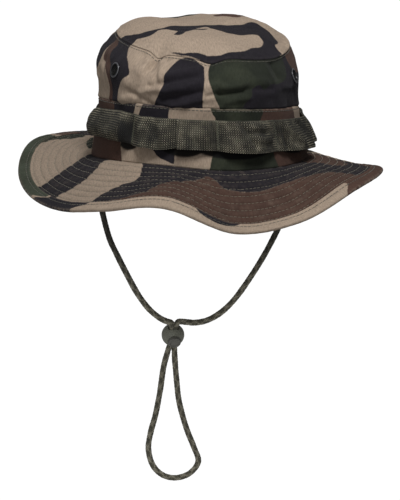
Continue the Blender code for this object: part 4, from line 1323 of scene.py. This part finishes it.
def build_tacks(material):
    """Bars of zigzag thread that hold the webbing down between its loops."""
    lines, outs = [], []
    turns = 23
    place = np.linspace(-0.92, 0.92, turns)
    sway = np.where(np.arange(turns) % 2, 0.5, -0.5)
    share = np.linspace(0, 1, 5)
    for start, *_ in WEBBING_LOOPS:
        for shift in (0.0, 0.55) if start == DOUBLE_TACK else (0.0,):
            angle = start + shift + sway
            for k in range(turns - 1):
                at = angle[k] + (angle[k + 1] - angle[k]) * share
                line = webbing(at, place[k] + (place[k + 1] - place[k]) * share)
                out = wall(at, line[:, 2], 1) - wall(at, line[:, 2], 0)
                lines.append(line + out * (WEBBING_CLOTH / 2 + 0.05))
                outs.append(out)
    threads("webbing_tacks", np.array(lines), np.array(outs), material, 0.2)


# ---------------------------------------------------------------- vents

def turned(name, profile, steps, matrix, material):
    """Closed profile of (radius, height) points turned about Z, then placed."""
    turn = np.arange(steps) * 2 * math.pi / steps
    profile = np.array(profile)
    points = np.stack([profile[:, :1] * np.cos(turn), profile[:, :1] * np.sin(turn),
                       np.broadcast_to(profile[:, 1:], (len(profile), steps))], -1)
    row, column = quads(len(profile) + 1, steps, True)
    mesh = mesh_from(name, points, ((row % len(profile)) * steps + column % steps).tolist())
    mesh.transform(matrix)
    tidy_normals(mesh)
    return add_object(name, mesh, material)


def tidy_normals(mesh, sharp=35):
    with edited(mesh) as work:
        bmesh.ops.recalc_face_normals(work, faces=work.faces)
    mesh.shade_smooth()
    mesh.set_sharp_from_angle(angle=math.radians(sharp))


def screen_wires(name, radius=4.2, pitch=0.8, thick=0.13, steps=24):
    """Two crossing sets of wires that pass over and under each other."""
    lines = []
    reach = math.floor(radius / pitch)
    for over in (1, -1):
        for k in np.arange(-reach, reach + 1):
            half = math.sqrt(radius ** 2 - (k * pitch) ** 2)
            run = np.linspace(-half, half, steps)
            lift = 0.12 * np.cos(run * math.pi / pitch + math.pi * (k % 2)) * over - 0.2
            level = (run, np.full(steps, k * pitch))
            lines.append(np.stack([*level[::over], lift], -1))
    lines = np.array(lines)
    return tube(name, lines, np.broadcast_to(UP, lines.shape), np.full(lines.shape[:2], thick), 6)


def build_vents(enamel, wire):
    for place, (angle, height) in VENTS.items():
        share = crown_share(angle, height)
        out = Vector(normals(crown, np.array(angle), np.array(share)))
        turn = out.to_track_quat('Z', 'X').to_matrix().to_4x4()
        matrix = Matrix.Translation(Vector(crown(angle, share)) * MM) @ turn
        eyelet = turned("eyelet_" + place, EYELET_PROFILE, 48, matrix, enamel)
        # Painted highlight: the flange's outer lip is made light grey
        worn = [0.7 * bell(radius - 5.55, 0.35) * (rise > 0.5) for radius, rise in EYELET_PROFILE]
        store(eyelet.data, "wear_and_highlight", np.repeat(worn, 48))
        washer = turned("washer_" + place, WASHER_PROFILE, 48, matrix, enamel)
        mesh = screen_wires("screen_" + place)
        mesh.transform(matrix)
        screen = add_object("screen_" + place, mesh, wire)
        stands_for(eyelet, "vent_eyelet_" + place, "hat")
        stands_for(washer, "vent_washer_" + place, "hat")
        stands_for(screen, "vent_screen_" + place, "hat")


# ---------------------------------------------------------------- chin cord

def cord_line(route, step=0.5):
    """Evenly spaced points along the smooth curve through a route."""
    knots = np.array(route, float)
    u = np.linspace(0, 1, 40, endpoint=False)[:, None]
    padded = np.concatenate([knots[:1], knots, knots[-1:]])
    fine = np.concatenate([spline(*padded[k:k + 4], u) for k in range(len(knots) - 1)] + [knots[-1:]])
    run = run_along(fine)
    even = np.linspace(0, run[-1], round(run[-1] / step) + 1)
    return np.stack([np.interp(even, run, fine[:, k]) for k in range(3)], -1), even


def cord_frames(line):
    """Two directions across a line that turn as little as possible along it."""
    step = np.gradient(line, axis=0)
    step /= np.linalg.norm(step, axis=1, keepdims=True)
    side = np.cross(step[0], (0, 1, 0.3))
    sides = []
    for ahead in step:
        side = side - ahead * (side @ ahead)
        side = side / np.linalg.norm(side)
        sides.append(side)
    sides = np.array(sides)
    return sides, np.cross(step, sides)


def build_cord(name, route, node, material):
    line, run = cord_line(route)
    side, up = cord_frames(line)
    sides = 36
    turn = np.arange(sides) * 2 * math.pi / sides
    lead = run[:, None] * 2 * math.pi / BRAID_PITCH
    one, two = 4 * turn + lead, 4 * turn - lead
    over = np.sin((one + two) / 2) * np.sin((one - two) / 2)
    blend = smooth(-0.25, 0.25, over)
    lay = np.abs(np.cos(one)) * blend + np.abs(np.cos(two)) * (1 - blend)
    strand = np.sin(one / 2 + 0.7) * blend + np.sin(two / 2) * (1 - blend)
    near = np.linalg.norm(line - TOGGLE_CENTRE, axis=1)
    pinch = CORD_PINCHED + (1 - CORD_PINCHED) * smooth(TOGGLE_RADIUS - 1, TOGGLE_RADIUS + 5, near)
    wobble = 1 + 0.02 * ripples(line, 14, len(name))
    smooth_radius = CORD_DIAMETER / 2 * pinch * wobble + 0.14 * (pinch > 0.9)
    radius = smooth_radius[:, None] + 0.34 * (lay - 0.6)
    ring = side[:, None] * np.cos(turn)[:, None] + up[:, None] * np.sin(turn)[:, None]
    points = line[:, None] + ring * radius[..., None]
    faces = tube_faces(len(line), sides).tolist() + tube_caps(len(line), sides).tolist()
    mesh = mesh_from(name, points, faces)
    store(mesh, "lay", lay)
    # Painted shadow: darker towards the top, where the brim shades the cord
    store(mesh, "painted_darkening", smooth(-118, -62, points[..., 2]))
    store(mesh, "strand", strand * 0.5 + 0.5)
    tidy_normals(mesh, 80)
    thing = add_object(name, mesh, material)
    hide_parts(node)
    return thing, (line[::8] * MM).tolist()


def build_chin_cord(material, toggle_pieces):
    """The cord's three stretches, between the tabs, the toggle and the loop's foot."""
    x, _, z = TOGGLE_CENTRE
    above, below = (x, 0, z + TOGGLE_GRIP), (x, 0, z - TOGGLE_GRIP)
    loop_foot = min(point[2] for point in CORD_LOOP)
    stretches = (("cord_right", CORD_RIGHT, 0.1687, "fitting", toggle_pieces),
                 ("cord_left", CORD_LEFT, 0.2003, "object", ()),
                 ("cord_loop", CORD_LOOP, 0.2764, "object", ()))
    for name, route, length, far_end, pieces in stretches:
        thing, path = build_cord(name, route, "chin_" + name, material)
        if route is CORD_LOOP:
            ends = ("toggle", "chin_cord", below, (x, 0, loop_foot))
        else:
            ends = ("chin_cord", "toggle", (x, 0, route[0][2]), above)
        start, end = (Vector(point) * MM for point in ends[2:])
        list(ends[:2])
        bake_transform(thing)
        tuple(Vector(route[0]) * MM)
        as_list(pieces)


def build_tabs(material):
    """Tapes sewn inside the crown that hold the cord's ends."""
    for name, angle in (("tab_right", -90.0), ("tab_left", 90.0)):
        foot = foot_height(angle)
        height = np.linspace(foot - 3.5, foot + 9, 26)[:, None]
        at, height = np.broadcast_arrays(np.linspace(angle - 4, angle + 4, 30), height)
        inset = -(2 * PANEL + 3 * GAP + SWEATBAND_CLOTH)
        side_edge, foot_edge = 6.3 - np.abs(at - angle) * 1.5, height - foot + 3.6
        rounding = 0.5 * (1 - smooth(0, 0.8, np.minimum(side_edge, foot_edge)))
        layers = []
        for depth in (-0.15 - rounding, -1.85 + rounding):
            layer = wall(at, np.maximum(height, foot), inset + depth)
            layer[..., 2] = height
            layers.append(layer)
        uv = np.stack([(at - angle) * FOOT_ARC, height], -1)
        cloth_piece(name, "cord_" + name, "webbing", *layers, uv, material, closed=False)


# ---------------------------------------------------------------- toggle

def cylinder(name, radius, low, high, sides=64):
    mesh = bpy.data.meshes.new(name)
    with edited(mesh) as work:
        bmesh.ops.create_cone(work, cap_ends=True, segments=sides, radius1=radius * MM, radius2=radius * MM,
                              depth=(high - low) * MM)
        bmesh.ops.translate(work, verts=work.verts, vec=(0, 0, (high + low) / 2 * MM))
    return add_object(name, mesh)


def slot_box(name, half_width, low, high, round_by=1.6):
    """Long box along Y with rounded edges."""
    mesh = bpy.data.meshes.new(name)
    size = tuple(length * MM for length in (2 * half_width, 5 * TOGGLE_RADIUS, high - low))
    with edited(mesh) as work:
        bmesh.ops.create_cube(work, size=1)
        bmesh.ops.scale(work, verts=work.verts, vec=size)
        bmesh.ops.translate(work, verts=work.verts, vec=(0, 0, (high + low) / 2 * MM))
        long_edges = [e for e in work.edges if abs(e.verts[0].co.y - e.verts[1].co.y) > TOGGLE_RADIUS * MM]
        bmesh.ops.bevel(work, geom=long_edges, offset=round_by * MM, segments=5, profile=0.5, affect='EDGES')
    return add_object(name, mesh)


def carve(thing, cutters):
    """Cut shapes out of a piece, and keep the result as its mesh."""
    for cutter in cutters:
        cut = thing.modifiers.new("cut", 'BOOLEAN')
        cut.operation = 'DIFFERENCE'
        cut.object = cutter
    graph = bpy.context.evaluated_depsgraph_get()
    mesh = bpy.data.meshes.new_from_object(thing.evaluated_get(graph))
    thing.modifiers.clear()
    thing.data = mesh
    for cutter in cutters:
        bpy.data.objects.remove(cutter, do_unlink=True)


def coil(name, material):
    """The spring, as long as the room between the pocket and the plunger."""
    turns = np.linspace(0, SPRING_TURNS, SPRING_TURNS * 28 + 1)
    low = SPRING_POCKET_END + GAP + SPRING_WIRE / 2
    high = PLUNGER_INNER_END - GAP - SPRING_WIRE / 2
    around_axis = turns * 2 * math.pi
    line = np.stack([SPRING_RADIUS * np.cos(around_axis), SPRING_RADIUS * np.sin(around_axis),
                     low + (high - low) * turns / SPRING_TURNS], -1)[None]
    mesh = tube(name, line, np.broadcast_to(UP, line.shape), np.full(line.shape[:2], SPRING_WIRE / 2), 10)
    return add_object(name, mesh, material)


def build_toggle(plastic, plunger_plastic, metal):
    tilt = Matrix.Rotation(math.radians(90 + PLUNGER_DIP), 4, 'X')
    matrix = Matrix.Translation(Vector(TOGGLE_CENTRE) * MM) @ tilt
    mesh = bpy.data.meshes.new("toggle_ball")
    with edited(mesh) as work:
        bmesh.ops.create_uvsphere(work, u_segments=72, v_segments=48, radius=TOGGLE_RADIUS * MM)
    ball = add_object("toggle_ball", mesh, plastic)
    hole = CORD_HOLE_OFFSET
    carve(ball, [cylinder("bore", TOGGLE_BORE_RADIUS, TOGGLE_BORE_END, 2 * TOGGLE_RADIUS),
                 cylinder("pocket", SPRING_POCKET_RADIUS, SPRING_POCKET_END, 0.0, 48),
                 slot_box("cord_hole", 4.5, hole - 2.5, hole + 2.5)])
    rim, end = PLUNGER_RADIUS, PLUNGER_OUTER_END
    profile = [(0.0, PLUNGER_INNER_END), (rim - 0.3, PLUNGER_INNER_END), (rim, PLUNGER_INNER_END + 0.3)]
    profile += [(rim - inward, end - down) for inward, down in PLUNGER_RIM]
    profile += [(2.2, end - 0.95), (0.0, end - 0.95)]
    plunger = lathe("toggle_button", profile, 64, plunger_plastic)
    carve(plunger, [slot_box("plunger_slot", 4.1, hole - 2.1, hole + 2.5 + PLUNGER_TRAVEL, 1.2)])
    spring = coil("toggle_coil", metal)
    for thing, node, body, slot in ((ball, "toggle_body", "toggle", "toggle_plastic"),
                                    (plunger, "toggle_plunger", "plunger", "toggle_plastic"),
                                    (spring, "toggle_spring", "toggle", "spring_steel")):
        thing.data.transform(matrix)
        tidy_normals(thing.data, 30)
        stands_for(thing, node, body)
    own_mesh(spring)
    return [ball, plunger, spring]


def lathe(name, profile, steps, material):
    """Solid turned from a profile that starts and ends on the axis."""
    mesh = bpy.data.meshes.new(name)
    with edited(mesh) as work:
        line = [work.verts.new((radius * MM, 0, height * MM)) for radius, height in profile]
        edges = [work.edges.new(pair) for pair in zip(line, line[1:])]
        bmesh.ops.spin(work, geom=line + edges, cent=(0, 0, 0), axis=UP, angle=2 * math.pi, steps=steps)
        bmesh.ops.remove_doubles(work, verts=work.verts, dist=1e-7)
        bmesh.ops.recalc_face_normals(work, faces=work.faces)
    return add_object(name, mesh, material)


# ---------------------------------------------------------------- camera, light and floor

AIM = (0.0008, 0.0, -0.0790)
CAMERA_AZIMUTH = -10.0
CAMERA_ELEVATION = 9.5
CAMERA_DISTANCE = 1.5
CAMERA_LENS = 134.2
LIT_POINT = (0, 0, 0.02)
FLOOR_HALF = 30
FLOOR_HEIGHT = -0.3


def look_at(thing, target):
    thing.rotation_euler = (Vector(target) - thing.location).to_track_quat('-Z', 'Y').to_euler()


def build_camera():
    turn, lift = math.radians(CAMERA_AZIMUTH), math.radians(CAMERA_ELEVATION)
    camera = bpy.data.objects.new("camera", bpy.data.cameras.new("camera"))
    bpy.context.scene.collection.objects.link(camera)
    away = Vector((math.sin(turn) * math.cos(lift), -math.cos(turn) * math.cos(lift), math.sin(lift)))
    camera.location = CAMERA_DISTANCE * away
    look_at(camera, AIM)
    camera.data.lens = CAMERA_LENS
    camera.data.sensor_width = 36
    bpy.context.scene.camera = camera


def area_light(name, place, size, power):
    light = bpy.data.objects.new(name, bpy.data.lights.new(name, 'AREA'))
    bpy.context.scene.collection.objects.link(light)
    light.location = place
    look_at(light, LIT_POINT)
    light.data.shape = 'RECTANGLE'
    light.data.size = light.data.size_y = size
    light.data.energy = power


def build_studio():
    area_light("key", (-0.05, -0.86, 1.36), 0.5, 23)
    area_light("fill", (-1.1, -1.8, 0.4), 1.2, 5.5)
    world = bpy.data.worlds.new("studio")
    bpy.context.scene.world = world
    world.use_nodes = True
    world.node_tree.nodes["Background"].inputs[0].default_value = (1, 1, 1, 1)
    world.node_tree.nodes["Background"].inputs[1].default_value = 0.2

    mesh = bpy.data.meshes.new("floor")
    far = FLOOR_HALF
    corners = [(x, y, FLOOR_HEIGHT) for x, y in ((-far, -far), (far, -far), (far, far), (-far, far))]
    mesh.from_pydata(corners, [], [(0, 1, 2, 3)])
    floor = bpy.data.materials.new("floor_white")
    floor.use_nodes = True
    nodes, links = floor.node_tree.nodes, floor.node_tree.links
    shader = nodes["Principled BSDF"]
    shader.inputs["Base Color"].default_value = (0.45, 0.45, 0.45, 1)
    shader.inputs["Roughness"].default_value = 0.9
    glow = nodes.new("ShaderNodeEmission")
    glow.inputs[1].default_value = 1.05
    ray = nodes.new("ShaderNodeLightPath")
    mix = nodes.new("ShaderNodeMixShader")
    for socket, source in enumerate((ray.outputs["Is Camera Ray"], shader.outputs[0], glow.outputs[0])):
        links.new(source, mix.inputs[socket])
    links.new(mix.outputs[0], nodes["Material Output"].inputs[0])
    add_object("floor", mesh, floor)
    bpy.context.scene.view_settings.view_transform = 'Standard'


# ---------------------------------------------------------------- the scene

def main():
    build_camera()
    cloth = camouflage_cloth("crown_camouflage", 1)
    # The brim's copy of the print is 0.82 times as bright as the crown's: painted shade
    brim_cloth = camouflage_cloth("brim_camouflage", 9, depth=0.82)
    binding_cloth = camouflage_cloth("binding_camouflage", 5, depth=0.95, green=2.9)
    under_cloth = camouflage_cloth("underside_camouflage", 17, 0.06)
    tape = plain_cloth("lining_tape_cloth", (0.10, 0.10, 0.065), 0.0012)
    label = plain_cloth("label_weave", (0.62, 0.61, 0.57), 0.0005, 0.7)
    core = plain_cloth("interlining_cloth", (0.55, 0.53, 0.48), 0.0008)
    web = ribbed_webbing("olive_webbing", (0.024, 0.022, 0.015), (0.44, 0.40, 0.29))
    enamel = enamelled_metal("black_enamel_metal")
    wire = bare_metal("vent_wire_metal", (0.05, 0.05, 0.05), 0.35, 0.5)
    cord = braided("olive_braid", (0.08, 0.076, 0.057), (0.215, 0.201, 0.148), (0.44, 0.412, 0.32))
    pale = sewing_thread("pale_thread", (0.175, 0.158, 0.115))
    dark = sewing_thread("grey_thread", (0.09, 0.085, 0.065))
    olive = sewing_thread("olive_thread", (0.085, 0.085, 0.055))
    plastic = moulded_plastic("olive_plastic", (0.235, 0.24, 0.195))
    plunger_plastic = moulded_plastic("dark_olive_plastic", (0.19, 0.187, 0.168))
    spring = bare_metal("spring_wire", (0.6, 0.6, 0.6), 0.2, 0.35)

    toggle_pieces = build_toggle(plastic, plunger_plastic, spring)
    build_chin_cord(cord, toggle_pieces)
    build_tabs(web)
    build_side(cloth)
    build_band(cloth)
    build_top(cloth)
    build_sweatband(tape)
    build_seam_tape(tape)
    build_label(label)
    build_brim(brim_cloth, under_cloth, core)
    build_binding(binding_cloth)
    build_webbing(web)
    build_stitching(pale, dark, olive)
    build_vents(enamel, wire)
    build_studio()


main()
